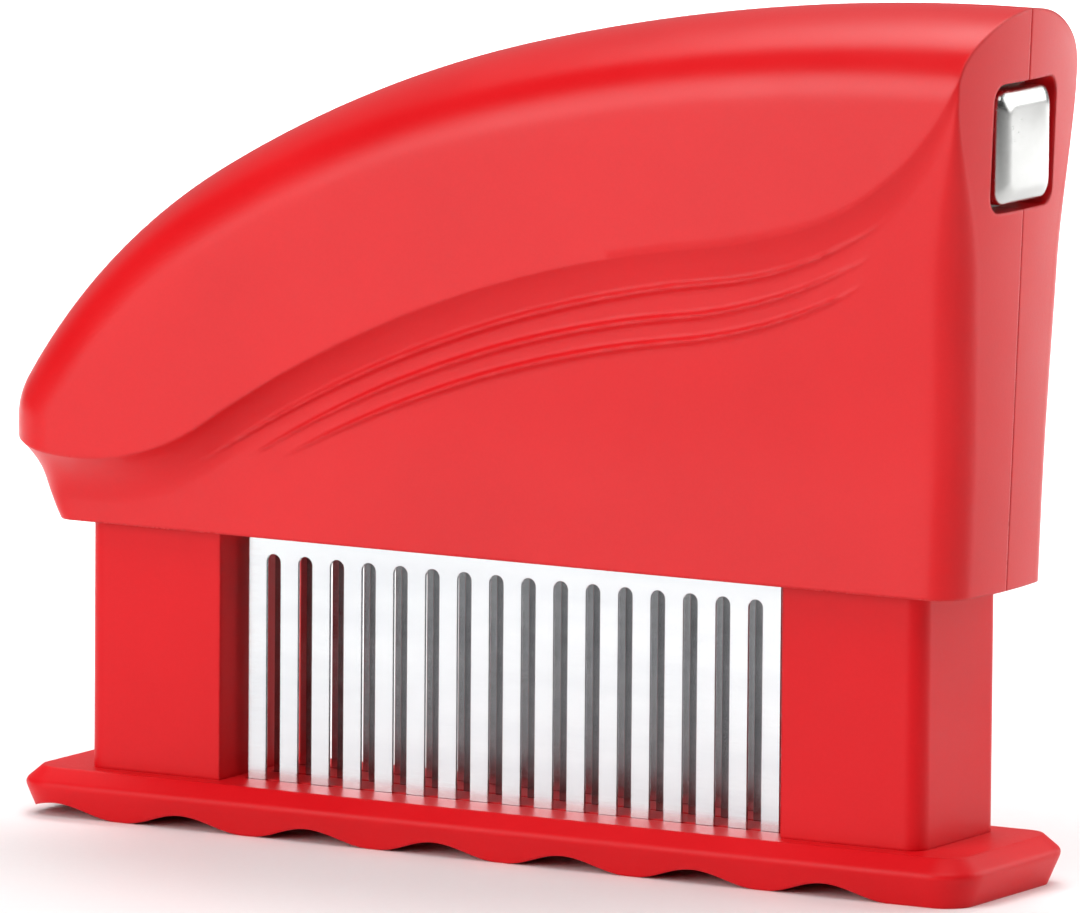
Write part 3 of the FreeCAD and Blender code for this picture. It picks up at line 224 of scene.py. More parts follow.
def softbox(name, around, above, distance, wide, high, power, aim=Vector((0, 0, 0.065)), spread=180):
    """A rectangular lamp that looks at a point from an angle round it, one above it, and a distance."""
    facing = direction(np.radians(around), np.radians(above))
    lamp = bpy.data.lights.new(name, "AREA")
    lamp.shape = "RECTANGLE"
    lamp.size, lamp.size_y = wide, high
    lamp.energy = power
    lamp.spread = np.radians(spread)
    thing = bpy.data.objects.new(name, lamp)
    bpy.context.scene.collection.objects.link(thing)
    turn = facing.to_track_quat("Z", "Y").to_matrix().to_4x4()
    thing.matrix_world = Matrix.Translation(aim + distance * facing) @ turn
    print(name, round(power / (wide * high), 1), "W a square metre")


softbox("left_box", around=-24, above=18, distance=1.4, wide=0.8, high=0.9, power=13)
softbox("right_box", around=136, above=22, distance=1.3, wide=1.25, high=0.9, power=11)
softbox("top_box", around=30, above=64, distance=1.3, wide=1.1, high=0.7, power=10)
FLOOR_LIT = 1.2  # metres behind the tool
softbox("floor_box", around=210, above=82, distance=1.6, wide=2.6, high=1.4, power=40,
        aim=FLOOR_LIT * backdrop, spread=75)

# %% [markdown]
# ## Finishes
#
# Each finish starts from how the real surface was made.  Moulded plastic copies the mould: a fine
# etched grain on the grip, a smoother one on the guard.  Its colour is never quite even, and its edges
# are rubbed smoother and a little lighter.  Photographs of plastic could be wrapped round the pieces,
# but a graph of noise has no seams, can be made finer or coarser at will, and takes its scale from the
# tool itself, in metres.

# %% Moulded red plastic


def rounded_edge(tree, radius):
    """The surface's direction as if its edges were rounded, and how near an edge is: 0 away from one."""
    soft = add(tree, "ShaderNodeBevel", 0, {"samples": 4}, Radius=radius)
    flat = add(tree, "ShaderNodeNewGeometry", 1)
    along = add(tree, "ShaderNodeVectorMath", 1, {"operation": "DOT_PRODUCT"}, i0=soft, i1=flat)
    return soft, between(tree, along, 0.995, 0.86)


def moulded(name, deep, pale, rubbed, rough, gloss, grain, grain_high, edge):
    """Moulded plastic: an even colour with slow clouds and fine grain, rubbed smoother and paler at its
    edges.  The grain is in blots to the metre, its height and the edge's radius in metres."""
    material, tree, shader = finish(name, IOR=1.5, Specular_IOR_Level=gloss)
    place = add(tree, "ShaderNodeTexCoord", 3)
    clouds = noise(tree, place, 28.0, 3.0)
    speck = noise(tree, place, grain, 3.0, 0.65)
    pitted = noise(tree, place, grain * 0.31, 2.0)
    soft, near_edge = rounded_edge(tree, edge)
    worn = sums(tree, "MULTIPLY", near_edge, between(tree, noise(tree, place, 420.0, 4.0), 0.38, 0.7))
    blend = sums(tree, "ADD", sums(tree, "MULTIPLY", clouds, 0.7), sums(tree, "MULTIPLY", speck, 0.3))
    colour = mixed(tree, between(tree, blend, 0.3, 0.7), deep, pale)
    colour = mixed(tree, sums(tree, "MULTIPLY", worn, 0.5), colour, rubbed)
    tree.links.new(colour, shader.inputs["Base Color"])
    dull = between(tree, noise(tree, place, 55.0, 4.0), 0.3, 0.7, rough - 0.035, rough + 0.035)
    dull = sums(tree, "ADD", dull, between(tree, speck, 0.3, 0.7, -0.03, 0.03))
    dull = sums(tree, "SUBTRACT", dull, sums(tree, "MULTIPLY", worn, 0.09))
    tree.links.new(dull, shader.inputs["Roughness"])
    height = sums(tree, "ADD", speck, sums(tree, "MULTIPLY", pitted, 0.5))
    bump = add(tree, "ShaderNodeBump", Strength=1.0, Distance=grain_high, Height=height, Normal=soft)
    tree.links.new(bump, shader.inputs["Normal"])
    print(name, "grain", round(1.0 / grain / MM, 2), "mm")
    return material


red_grip = moulded("etched_red_plastic", deep=(0.60, 0.0030, 0.006, 1), pale=(0.68, 0.0055, 0.009, 1),
                   rubbed=(0.78, 0.05, 0.05, 1), rough=0.35, gloss=0.34,
                   grain=2600.0, grain_high=0.000009, edge=0.0007)
red_guard = moulded("smooth_red_plastic", deep=(0.59, 0.0025, 0.006, 1), pale=(0.66, 0.0045, 0.009, 1),
                    rubbed=(0.80, 0.05, 0.05, 1), rough=0.42, gloss=0.2,
                    grain=1900.0, grain_high=0.000006, edge=0.0006)

# %% [markdown]
# Steel is coloured by what it reflects, so its finish is all in its roughness and its fine marks.  The
# combs are cut from rolled strip: the rolling leaves faint lines along the rows, and polishing leaves
# short marks across them.  Springs and pins are drawn wire, and the button is cast, ground and plated.

# %% Steel and plating


def metal(name, pale, deep, rough, stretch, marks, depth, edge):
    """Bright metal: marks drawn out along one way vary its roughness and tilt its surface a little."""
    material, tree, shader = finish(name, Metallic=1.0)
    place = add(tree, "ShaderNodeMapping", Vector=add(tree, "ShaderNodeTexCoord", 3), Scale=stretch)
    drawn = noise(tree, place, marks, 4.0, 0.6)
    cloudy = noise(tree, place, marks * 0.06, 3.0)
    soft, near_edge = rounded_edge(tree, edge)
    tree.links.new(mixed(tree, between(tree, cloudy, 0.3, 0.7), deep, pale), shader.inputs["Base Color"])
    dull = between(tree, sums(tree, "ADD", drawn, cloudy), 0.7, 1.3, rough * 0.75, rough * 1.3)
    tree.links.new(sums(tree, "SUBTRACT", dull, sums(tree, "MULTIPLY", near_edge, rough * 0.3)),
                   shader.inputs["Roughness"])
    bump = add(tree, "ShaderNodeBump", Strength=1.0, Distance=depth, Height=drawn, Normal=soft)
    tree.links.new(bump, shader.inputs["Normal"])
    print(name, "ready")
    return material


blade_steel = metal("rolled_steel", pale=(0.64, 0.65, 0.66, 1), deep=(0.56, 0.57, 0.59, 1), rough=0.2,
                    stretch=(0.08, 1.0, 1.0), marks=3500.0, depth=0.0000003, edge=0.00015)
# A darker steel for the middle comb: painted shade, because that comb stands between the other two.
shaded_comb_steel = metal("shaded_comb_steel", pale=(0.44, 0.44, 0.445, 1), deep=(0.34, 0.34, 0.345, 1), rough=0.14,
                    stretch=(0.08, 1.0, 1.0), marks=3500.0, depth=0.0000003, edge=0.00015)
wire_steel = metal("drawn_steel", pale=(0.72, 0.73, 0.74, 1), deep=(0.6, 0.61, 0.63, 1), rough=0.24,
                   stretch=(1.0, 1.0, 1.0), marks=2400.0, depth=0.0000005, edge=0.0001)
button_plating = metal("satin_plating", pale=(0.56, 0.56, 0.55, 1), deep=(0.47, 0.47, 0.46, 1),
                       rough=0.22, stretch=(1.0, 0.35, 1.0), marks=2200.0, depth=0.0000008, edge=0.0006)

# %% Natural white plastic of the inner pieces
white, tree, shader = finish("natural_white_plastic", IOR=1.5,
                             Subsurface_Weight=0.08, Subsurface_Scale=0.002)
place = add(tree, "ShaderNodeTexCoord", 3)
milky = noise(tree, place, 60.0, 3.0)
speck = noise(tree, place, 1800.0, 2.0)
soft, near_edge = rounded_edge(tree, 0.0004)
tone = mixed(tree, between(tree, milky, 0.3, 0.7), (0.80, 0.80, 0.765, 1), (0.86, 0.86, 0.84, 1))
tree.links.new(mixed(tree, near_edge, tone, (0.9, 0.9, 0.89, 1)), shader.inputs["Base Color"])
tree.links.new(between(tree, speck, 0.3, 0.7, 0.36, 0.46), shader.inputs["Roughness"])
relief = add(tree, "ShaderNodeBump", Strength=1.0, Distance=0.000008, Height=speck, Normal=soft)
tree.links.new(relief, shader.inputs["Normal"])
print(white.name, "ready")

# %% [markdown]
# ## The moulded housing
#
# The grip is moulded in two halves that meet on the middle plane.  Each half has a palm rounded over a
# long crest, a crease that runs along its side like a wave, a hollow under the crease, and a panel that
# flares upwards and carries three thin ridges.  It could be sculpted or cut from a block.  Here it is
# worked out on grids, because every line of it is a run of arcs that join without a kink, and a grid
# keeps that smoothness.
#
# Lengths in these cells are in millimetres from the underside of the housing and the middle of the
# blade rows.  They become metres when a mesh is made.

# %% Runs of tangent arcs
UNDERSIDE = 44.1  # of the housing, above the table


def arcs(start, slopes, radii, step=0.25):
    """Points and headings along tangent arcs: on each arc the heading turns evenly from one slope, in
    degrees, to the next, and a point is the arc's centre plus its radius square to the heading."""
    headings, points = [], []
    place = np.array(start, float)
    for first, last, radius in zip(np.radians(slopes[:-1]), np.radians(slopes[1:]), radii):
        count = int(np.ceil(radius * abs(last - first) / step)) + 1
        heading = np.linspace(first, last, count)
        side = np.sign(last - first) * radius
        centre = place + side * np.array([-np.sin(first), np.cos(first)])
        run = centre - side * np.column_stack([-np.sin(heading), np.cos(heading)])
        headings.append(heading[:-1])
        points.append(run[:-1])
        place = run[-1]
    return np.vstack(points + [place[None]]), np.append(np.concatenate(headings), np.radians(slopes[-1]))


def evenly(points, values, gap):
    """A line walked again in even steps of about one gap, with any values that belong to its points."""
    length = np.append(0.0, np.cumsum(np.hypot(*np.diff(points, axis=0).T)))
    walk = np.linspace(0.0, length[-1], int(length[-1] / gap) + 1)
    return (np.column_stack([np.interp(walk, length, points[:, i]) for i in (0, 1)]),
            np.interp(walk, length, values), walk / length[-1])


NOSE = -84.96
CREST_START = (NOSE, 15.06)
CREST_SLOPES, CREST_RADII = (90, 58.8, 30.9, 14.2, 0), (12.5, 92.8, 189.5, 317.8)
crest_line, crest_heading = arcs(CREST_START, CREST_SLOPES, CREST_RADII)
FOLD_START = (-83.7, 13.2)
FOLD_SLOPES, FOLD_RADII = (-22.9, 34.2, 8.1, 15.6, 68.8), (39.4, 192.2, 127.9, 42.0)
fold_line, _ = arcs(FOLD_START, FOLD_SLOPES, FOLD_RADII)
ahead_of_nose = NOSE - 1.0
lead = FOLD_START[1] + (ahead_of_nose - FOLD_START[0]) * np.tan(np.radians(FOLD_SLOPES[0]))
fold_line = np.vstack([[ahead_of_nose, lead], fold_line])
print("crest", np.round(crest_line[-1], 2), "fold", np.round(fold_line[-1], 2))

# %% [markdown]
# ### The oval over the crest
#
# Cut across the crest, the palm is an oval of three arcs: a wide crown and two tighter shoulders, then
# two upright flanks.  Walking along that outline from the crest gives a depth below the crest and a
# distance from the middle plane, and those two numbers are all the grid needs.

# %% The oval
HALF, SHOULDER, DEEP = 18.28, 9.0, 12.0
reach = HALF - SHOULDER
CROWN = (reach ** 2 + DEEP ** 2 - SHOULDER ** 2) / (2 * (DEEP - SHOULDER))
CROWN_TURN = np.arcsin(reach / (CROWN - SHOULDER))
CROWN_RUN = CROWN * CROWN_TURN
OVAL_RUN = CROWN_RUN + SHOULDER * (np.pi / 2 - CROWN_TURN)


def oval(run):
    """Depth below the crest and distance from the middle after a walk along the oval: a crown arc, a
    shoulder arc that it meets without a kink, then straight down."""
    on_crown = np.clip(run, 0, CROWN_RUN) / CROWN
    on_shoulder = CROWN_TURN + np.clip(run - CROWN_RUN, 0, OVAL_RUN - CROWN_RUN) / SHOULDER
    past = run > CROWN_RUN
    deep = np.where(past, DEEP - SHOULDER * np.cos(on_shoulder), CROWN * (1 - np.cos(on_crown)))
    out = np.where(past, reach + SHOULDER * np.sin(on_shoulder), CROWN * np.sin(on_crown))
    return deep + np.maximum(run - OVAL_RUN, 0), out


END_STANDS, END_LEAN, END_BOW = 77.25, 0.0368, 90.0


def end_face(out, high):
    """Where the button end stands: it leans out as it rises, and across the grip it falls back by the
    square of the distance from the middle over twice the bow's radius."""
    return END_STANDS + END_LEAN * high - out ** 2 / (2 * END_BOW)


print("crown radius", round(CROWN, 2), "round the oval", round(OVAL_RUN, 2), "mm")

# %% [markdown]
# ### Palm, nose and crease
#
# A column of the palm's grid starts on the crest and walks down the oval until it meets the crease.
# The last few columns bend over to the button end.  Below the nose a short skirt drops to the crease,
# because there the crease dips under the point where the crest line starts.

# %% The palm grid
PALM_STOP, TO_END = 76.0, 7
NOSE_TURN = np.radians(CREST_SLOPES[1])
centre, heading, _ = evenly(crest_line, crest_heading, 0.95)
keep = centre[:, 0] < PALM_STOP
centre, heading = centre[keep], heading[keep]
bend = np.append(np.zeros(len(centre)), np.arange(1, TO_END + 1) / TO_END)
centre = np.vstack([centre, np.repeat([[centre[-1, 0], crest_line[-1, 1]]], TO_END, axis=0)])
heading = np.append(heading, np.zeros(TO_END))


def palm(run, centre, heading, bend):
    """A point of the palm: from the crest point square to the crest down the oval, then on down the flank.
    Round the tight nose the flank's lines fan out instead, from straight down, or they would cross."""
    deep, out = oval(run)
    spread = NOSE_TURN * (np.pi / 2 - heading) / (np.pi / 2 - NOSE_TURN)
    fan = np.where(heading > NOSE_TURN, spread, heading)
    below = np.maximum(deep - DEEP, 0)
    deep = deep - below
    x = centre[:, :1] + deep * np.sin(heading)[:, None] + below * np.sin(fan)[:, None]
    z = centre[:, 1:] - deep * np.cos(heading)[:, None] - below * np.cos(fan)[:, None]
    x = x + bend[:, None] * (end_face(out, z) - x)
    return np.stack([np.minimum(x, end_face(out, z)), -out, z], axis=-1)


LONGEST_WALK, TRIALS = 90.0, 1801
trial = np.linspace(0.0, LONGEST_WALK, TRIALS)
tried = palm(np.broadcast_to(trial, (len(centre), len(trial))), centre, heading, bend)
above = tried[..., 2] - np.interp(tried[..., 0], *fold_line.T)
first = np.argmax(above < 0, axis=1)
rows = np.arange(len(centre))
share = above[rows, first - 1] / (above[rows, first - 1] - above[rows, first])
crease_run = trial[first - 1] + share * (trial[1] - trial[0])

ROUND_ROWS, FLANK_ROWS = 26, 16
LEAST_FLANK, GROOVE = 2.0, 0.22
split = np.minimum(OVAL_RUN, crease_run - LEAST_FLANK)[:, None]
round_share = np.append([0.0, GROOVE / OVAL_RUN], np.linspace(0, 1, ROUND_ROWS + 1)[1:])
run = np.hstack([split * round_share,
                 split + (crease_run[:, None] - split) * np.linspace(0, 1, FLANK_ROWS + 1)[1:]])
palm_grid = palm(run, centre, heading, bend)
nose_count = ROUND_ROWS + 2
lip = palm_grid[0, :nose_count]
drop = np.interp(lip[:, 0], *fold_line.T) - lip[:, 2]
skirt = lip[None] + np.linspace(0, 1, FLANK_ROWS + 1)[:, None, None] * np.stack(
    [0 * drop, 0 * drop, drop], axis=-1)[None]
print("palm grid", palm_grid.shape[:2], "skirt", skirt.shape[:2])

# %% [markdown]
# ### Panel, hollow and button end
#
# The panel starts from the crease, so its columns use the crease's own points and nothing can gape.
# Going round the plan they cover the tail, its rounded corner, the long side, the corner at the button
# end and half of the end face.  The flare, the lean of the tail and the growing corners are each one
# short formula.

# %% Plan of the panel
TAIL, TAIL_LEAN = 74.9, 0.62
PANEL_END, PANEL_LONG, FOOT_HALF, NARROWING = 77.0, 152.0, 14.45, 0.75
FLARE, FLARE_EASES, FLARE_FROM, FLARE_SOFT = 0.0749, 0.000125, 20.0, 7.0
TAIL_CORNER, TAIL_GROWTH, TAIL_GROWN, TAIL_POWER = 3.5, 7.5, 14.0, 1.5
END_CORNER, END_LOSS, FADE_FROM, FADE_LONG = 5.5, 5.3, 46.0, 29.0
CORNER_COLUMNS = 12


def half_deep(x, high):
    """Half depth of the panel: above a straight foot it flares out along a hyperbola, less a little with
    the square of the height, and it narrows with the square of the distance from the button end."""
    over = 0.5 * (high - FLARE_FROM + np.hypot(high - FLARE_FROM, FLARE_SOFT))
    narrower = NARROWING * ((x - PANEL_END) / PANEL_LONG) ** 2
    return FOOT_HALF + FLARE * over - FLARE_EASES * over ** 2 - narrower


def tail_corner(high):
    """Radius of the tail's upright corners: small at the foot, as wide as the nose at the crease."""
    return TAIL_CORNER + TAIL_GROWTH * (np.clip(high, 0, None) / TAIL_GROWN) ** TAIL_POWER


def end_corner(high):
    """Radius of the upright corner at the button end: it fades to a sharp point where the crease ends."""
    fade = np.clip((high - FADE_FROM) / FADE_LONG, 0, 1)
    return END_CORNER - END_LOSS * fade * fade * (3 - 2 * fade)


crease_nose = skirt[-1]
crease_side = palm_grid[1:, -1]
end_rim = palm_grid[-1, ::-1]
crease_corner = np.repeat(crease_side[-1:], CORNER_COLUMNS, axis=0)
crease = np.vstack([crease_nose, crease_side, crease_corner, end_rim[1:]])
side_stop = len(crease_nose) + len(crease_side)
end_start = side_stop + CORNER_COLUMNS
print("columns", len(crease), "nose", nose_count, "side to", side_stop, "end from", end_start)

# %% The panel grid
PANEL_ROWS, CORNER_PULL, END_FLAT = 170, 12, 8.9
level = np.linspace(0, 1, PANEL_ROWS + 1)[None, :] * crease[:, 2:]
panel = np.zeros(level.shape + (3,))
panel[..., 2] = level

part = slice(0, nose_count)
corner = tail_corner(level[part])
wall = -(TAIL + TAIL_LEAN * level[part])
half = half_deep(wall + corner, level[part])
straight = half - corner
walk = (run[0, :nose_count] / run[0, nose_count - 1])[:, None] * (straight + np.pi / 2 * corner)
turn = np.clip(walk - straight, 0, None) / corner
panel[part, :, 0] = wall + corner * (1 - np.cos(turn))
panel[part, :, 1] = -(np.minimum(walk, straight) + corner * np.sin(turn))

part = slice(nose_count, side_stop)
side_from, side_to = crease[nose_count - 1, 0], crease[side_stop - 1, 0]
along = (crease[part, :1] - side_from) / (side_to - side_from)
share = level[part] / crease[part, 2:]
foot_x = (TAIL_CORNER - TAIL) + along * (end_face(END_FLAT, 0) - END_CORNER + TAIL - TAIL_CORNER)
top = crease[side_stop - 1, 2] * np.linspace(0, 1, PANEL_ROWS + 1)
corner_start = end_face(half_deep(PANEL_END, top), top) - end_corner(top)
x = foot_x + share * (crease[part, :1] - foot_x)
x = x - along ** CORNER_PULL * (x[-1] - corner_start)  # the last columns stop where the corner starts
panel[part, :, 0] = x
panel[part, :, 1] = -half_deep(x, level[part])

part = slice(side_stop, end_start)
turn = (np.arange(1, CORNER_COLUMNS + 1) / CORNER_COLUMNS * np.pi / 2)[:, None]
corner = end_corner(level[part])
half = half_deep(PANEL_END, level[part])
face = end_face(half - corner, level[part])
panel[part, :, 0] = face - corner * (1 - np.sin(turn))
panel[part, :, 1] = -(half - corner + corner * np.cos(turn))

part = slice(end_start, len(crease))
widest = -crease[side_stop - 1, 1]
flat = half_deep(PANEL_END, level[part]) - end_corner(level[part])
flat = np.where(level[part] > crease[side_stop - 1, 2], widest, np.minimum(flat, widest))
out = flat * (-crease[part, 1:2] / widest)
panel[part, :, 1] = -out
panel[part, :, 0] = end_face(out, level[part])
print("panel grid", panel.shape[:2])

# %% [markdown]
# ### Hollow and ridges
#
# The hollow under the crease carries the panel out to the palm: the step between the two is added to
# the panel with a weight that falls from one at the crease to nothing a thumb's width below, along a
# curve that leaves the panel without a kink.  A ridge is a low wave across a line of arcs, and its
# width and height both fade to nothing at its ends.

# %% Hollow under the crease
COVE_NOSE, COVE_HIGH, COVE_POWER = 2.6, 7.5, 2.1
step = crease - panel[:, -1]
grow = np.clip(np.arange(len(crease)) / nose_count, 0, 1)[:, None]
high = COVE_NOSE + (COVE_HIGH - COVE_NOSE) * grow * grow * (3 - 2 * grow)
weight = np.clip(1 - (crease[:, 2:] - level) / high, 0, 1) ** COVE_POWER
panel = panel + weight[..., None] * step[:, None, :] * np.array([1.0, 1.0, 0.0])
panel[:, -1] = crease
print("hollow from", round(float(high.min()), 1), "to", round(float(high.max()), 1), "mm high")

# %% Ridges
RIDGE_PROUD, RIDGE_HALF, RIDGE_STEP = 0.8, 0.95, 0.5
FADE_POWER, LEAST_FADE = 0.45, 0.05


def ridge_height(x, z, start, slopes, radii):
    """Height of a ridge at points of the side view: a raised cosine of the distance to its line, times a
    fade along the line."""
    line, turn = arcs(start, slopes, radii)
    line, _, along = evenly(line, turn, RIDGE_STEP)
    gap = np.hypot(x[..., None] - line[:, 0], z[..., None] - line[:, 1])
    nearest = np.argmin(gap, axis=-1)
    fade = np.clip(np.sin(np.pi * along[nearest]), 0, 1) ** FADE_POWER
    near = np.clip(np.min(gap, axis=-1) / (RIDGE_HALF * np.maximum(fade, LEAST_FADE)), 0, 1)
    return RIDGE_PROUD * fade * (0.5 + 0.5 * np.cos(np.pi * near))


RIDGES = (((-48.39, 10.61), (33.1, 8.1, 35.1), (215.2, 61.4)),
          ((-41.34, 11.42), (31.6, 8.0, 30.8), (191.4, 84.0)),
          ((-35.55, 11.95), (28.5, 8.3, 29.3), (202.0, 89.7)))
ridged = slice(nose_count, side_stop)
swell = sum(ridge_height(panel[ridged, :, 0], panel[ridged, :, 2], *ridge) for ridge in RIDGES)
panel[ridged, :, 1] -= swell
print("ridges stand", round(float(swell.max()), 2), "mm proud")

# %% [markdown]
# ### One closed half
#
# Palm, skirt and panel share their border points, so joined and merged they are one skin.  Two flat
# faces close it: the parting face on the middle plane and the underside.  A fine groove is left where
# the halves meet, because moulded edges are never quite sharp.

# %% Skin, groove and lids
PARTING, GROOVE_SINK, END_SINK = 0.02, 0.12, 0.15


def quads(rows, columns, first):
    """Corner numbers of the faces of a grid whose points are numbered row after row."""
    corner = first + np.arange(rows - 1)[:, None] * columns + np.arange(columns - 1)[None, :]
    return np.stack([corner, corner + columns, corner + columns + 1, corner + 1], axis=-1).reshape(-1, 4)


palm_grid[:, 0, 2] -= GROOVE_SINK * np.cos(heading)
palm_grid[:, 0, 0] += GROOVE_SINK * np.sin(heading)
skirt[:, 0, 0] = palm_grid[0, 0, 0]
panel[0, :, 0] += GROOVE_SINK
panel[-1, :, 0] -= END_SINK
palm_grid[-1, 0] = panel[-1, -1]
panel[0, -1] = skirt[-1, 0]
sheets = [palm_grid, skirt, panel]
for sheet in sheets:
    sheet[..., 1] = np.minimum(sheet[..., 1], -PARTING)
starts = np.cumsum([0] + [sheet.shape[0] * sheet.shape[1] for sheet in sheets])
skin_points = np.vstack([sheet.reshape(-1, 3) for sheet in sheets])
skin_faces = np.vstack([quads(*sheet.shape[:2], start) for sheet, start in zip(sheets, starts)])
columns, rows = panel.shape[:2]
foot = starts[2] + np.arange(columns) * rows
parting = np.concatenate([np.arange(palm_grid.shape[0]) * palm_grid.shape[1],
                          starts[2] + (columns - 1) * rows + np.arange(rows)[::-1],
                          starts[2] + np.arange(rows),
                          starts[1] + np.arange(FLANK_ROWS + 1)[::-1] * skirt.shape[1]])
print("skin:", len(skin_points), "points", len(skin_faces), "faces")

# %% Making a closed mesh
import bmesh

SAME_PLACE, NO_LENGTH = 0.000004, 0.000001


def closed_mesh(name, points, faces):
    """A mesh in metres from points in the housing's own millimetres: doubles merged, faces outwards."""
    shift = np.array([ROWS_MIDDLE / MM, 0.0, UNDERSIDE])
    mesh = bpy.data.meshes.new(name)
    mesh.from_pydata(((points + shift) * MM).tolist(), [], faces)
    sculpt = bmesh.new()
    sculpt.from_mesh(mesh)
    bmesh.ops.remove_doubles(sculpt, verts=sculpt.verts, dist=SAME_PLACE)
    bmesh.ops.dissolve_degenerate(sculpt, dist=NO_LENGTH, edges=sculpt.edges)
    bmesh.ops.recalc_face_normals(sculpt, faces=sculpt.faces)
    sculpt.to_mesh(mesh)
    open_edges = sum(1 for edge in sculpt.edges if not edge.is_manifold)
    sculpt.free()
    piece = bpy.data.objects.new(name, mesh)
    bpy.context.scene.collection.objects.link(piece)
    print(name, len(mesh.vertices), "points,", open_edges, "open edges")
    return piece


lids = [foot.tolist(), parting.tolist()]
shells = []
for name, mirror in (("front_half", 1.0), ("rear_half", -1.0)):
    points = skin_points * np.array([1.0, mirror, 1.0])
    shells.append(closed_mesh(name, points, skin_faces.tolist() + lids))

# %% [markdown]
# ### Cutting the halves open
#
# A mould gives a half its hollow, its openings and its screw bosses in one go.  Here they are taken out
# of the closed half afterwards, with plain bars that are outlines carried straight.  Leaving faces out
# of the skin would be quicker, but a cut keeps every opening's wall its true thickness and keeps the
# half closed.

# %% Cutting tools


def stacked(name, rings):
    """A closed piece from rings of equally many points, one above another: walls and two lids."""
    rings = np.asarray(rings)
    count, around = rings.shape[:2]
    first = np.arange(count - 1)[:, None] * around
    near = np.arange(around)[None, :]
    far = (near + 1) % around
    faces = np.stack([first + near, first + far, first + far + around, first + near + around], axis=-1)
    ends = [np.arange(around)[::-1].tolist(), ((count - 1) * around + np.arange(around)).tolist()]
    return closed_mesh(name, rings.reshape(-1, 3), faces.reshape(-1, 4).tolist() + ends)


def prism(name, outline, first, last, plane="xz"):
    """A closed bar: an outline in one plane, carried straight from one level to another square to it."""
    outline = np.asarray(outline, float)
    order = {"xz": (0, 2, 1), "xy": (0, 1, 2), "yz": (2, 0, 1)}[plane]
    return stacked(name, [np.column_stack([outline, np.full(len(outline), at)])[:, order]
                          for at in (first, last)])


def rounded(wide, high, radius, middle=(0.0, 0.0), steps=8):
    """A rectangle whose corners are quarter circles, as points in order round it."""
    turn = np.linspace(0, np.pi / 2, steps + 1)
    quarter = np.column_stack([np.cos(turn), np.sin(turn)]) * radius
    quarter = quarter + (wide / 2 - radius, high / 2 - radius)
    half = np.vstack([quarter, quarter[::-1] * (-1, 1)])
    return np.vstack([half, -half]) + middle


def disc(spot, radius, sides=32):
    """A circle round a spot, as points in order."""
    turn = np.linspace(0, 2 * np.pi, sides + 1)[:-1]
    return spot + radius * np.column_stack([np.cos(turn), np.sin(turn)])


def cut(piece, tool):
    """Takes the tool's solid away from the piece, and the tool out of the scene."""
    hole = piece.modifiers.new(tool.name, "BOOLEAN")
    hole.operation, hole.solver, hole.object = "DIFFERENCE", "EXACT", tool
    bpy.context.view_layer.update()
    result = bpy.data.meshes.new_from_object(piece.evaluated_get(bpy.context.evaluated_depsgraph_get()))
    piece.modifiers.remove(hole)
    piece.data = result
    bpy.data.objects.remove(tool)


print("cutting tools ready")

# %% Hollow, openings and screw holes of the halves
FLOOR, WALL_IN, ROOF = 2.4, 11.95, 6.2
COLUMN_IN, COLUMN_WIDE, COLUMN_DEEP, SLIDE = 47.2, 22.8, 23.4, 0.25
COLUMN_CORNER = 0.6
CARRIER_LONG, CARRIER_DEEP, CARRIER_CORNER = 90.8, 20.8, 0.5
RECESS, RECESS_CORNER, BUTTON_LEVEL = 18.6, 2.6, 64.4
ROOM_TAIL, ROOM_CREST, ROOM_END, RECESS_BACK = -68.0, 71.0, 72.8, 72.0
SCREW_SPOTS = np.array([(-74.5, 12.5), (-30.0, 44.0), (4.0, 42.0), (24.0, 64.0), (71.0, 42.0)])
SCREW_HOLE, SCREW_SEAT, BOSS = 2.95, 9.0, 4.0
BELOW_FLOOR, ABOVE_FLOOR = -1.0, FLOOR + 1.0
PAST_WALLS, PAST_SIDE, PAST_END = 15.0, 30.0, 90.0

under_crest = centre + ROOF * np.column_stack([np.sin(heading), -np.cos(heading)])
inner = under_crest[(under_crest[:, 0] > ROOM_TAIL) & (under_crest[:, 0] < ROOM_CREST)]
hollow = np.vstack([[(ROOM_TAIL, FLOOR)], inner, [(ROOM_END, inner[-1, 1]), (ROOM_END, FLOOR)]])
ways = [("comb_way", rounded(CARRIER_LONG, CARRIER_DEEP, CARRIER_CORNER))]
for end in (-1.0, 1.0):
    ways.append(("column_way", rounded(COLUMN_WIDE + 2 * SLIDE, COLUMN_DEEP + 2 * SLIDE, COLUMN_CORNER,
                                       (end * (COLUMN_IN + COLUMN_WIDE / 2), 0.0))))
for shell in shells:
    space = prism("room", hollow, -WALL_IN, WALL_IN)
    for spot in SCREW_SPOTS:
        cut(space, prism("boss", disc(spot, BOSS), -PAST_WALLS, PAST_WALLS))
    cut(shell, space)
    for name, way in ways:
        cut(shell, prism(name, way, BELOW_FLOOR, ABOVE_FLOOR, "xy"))
    way = rounded(RECESS, RECESS, RECESS_CORNER, (0.0, BUTTON_LEVEL))
    cut(shell, prism("button_way", way, RECESS_BACK, PAST_END, "yz"))
for spot in SCREW_SPOTS:
    cut(shells[1], prism("screw_way", disc(spot, SCREW_HOLE), SCREW_SEAT, PAST_SIDE))
print("halves cut out")

# %% [markdown]
# ### Guard plate
#
# The plate the columns stand on is moulded in one piece: its wall leans in towards the foot, a bevel
# runs round the top, and the foot is scalloped so that it rests on rounded lobes and meat juice can run
# out between them.  Rings of the plan give the wall and the bevel.  The hollows of the foot are raised
# cosines, because a cosine leaves a lobe and reaches its top without a kink, as the wave of the real
# foot does.

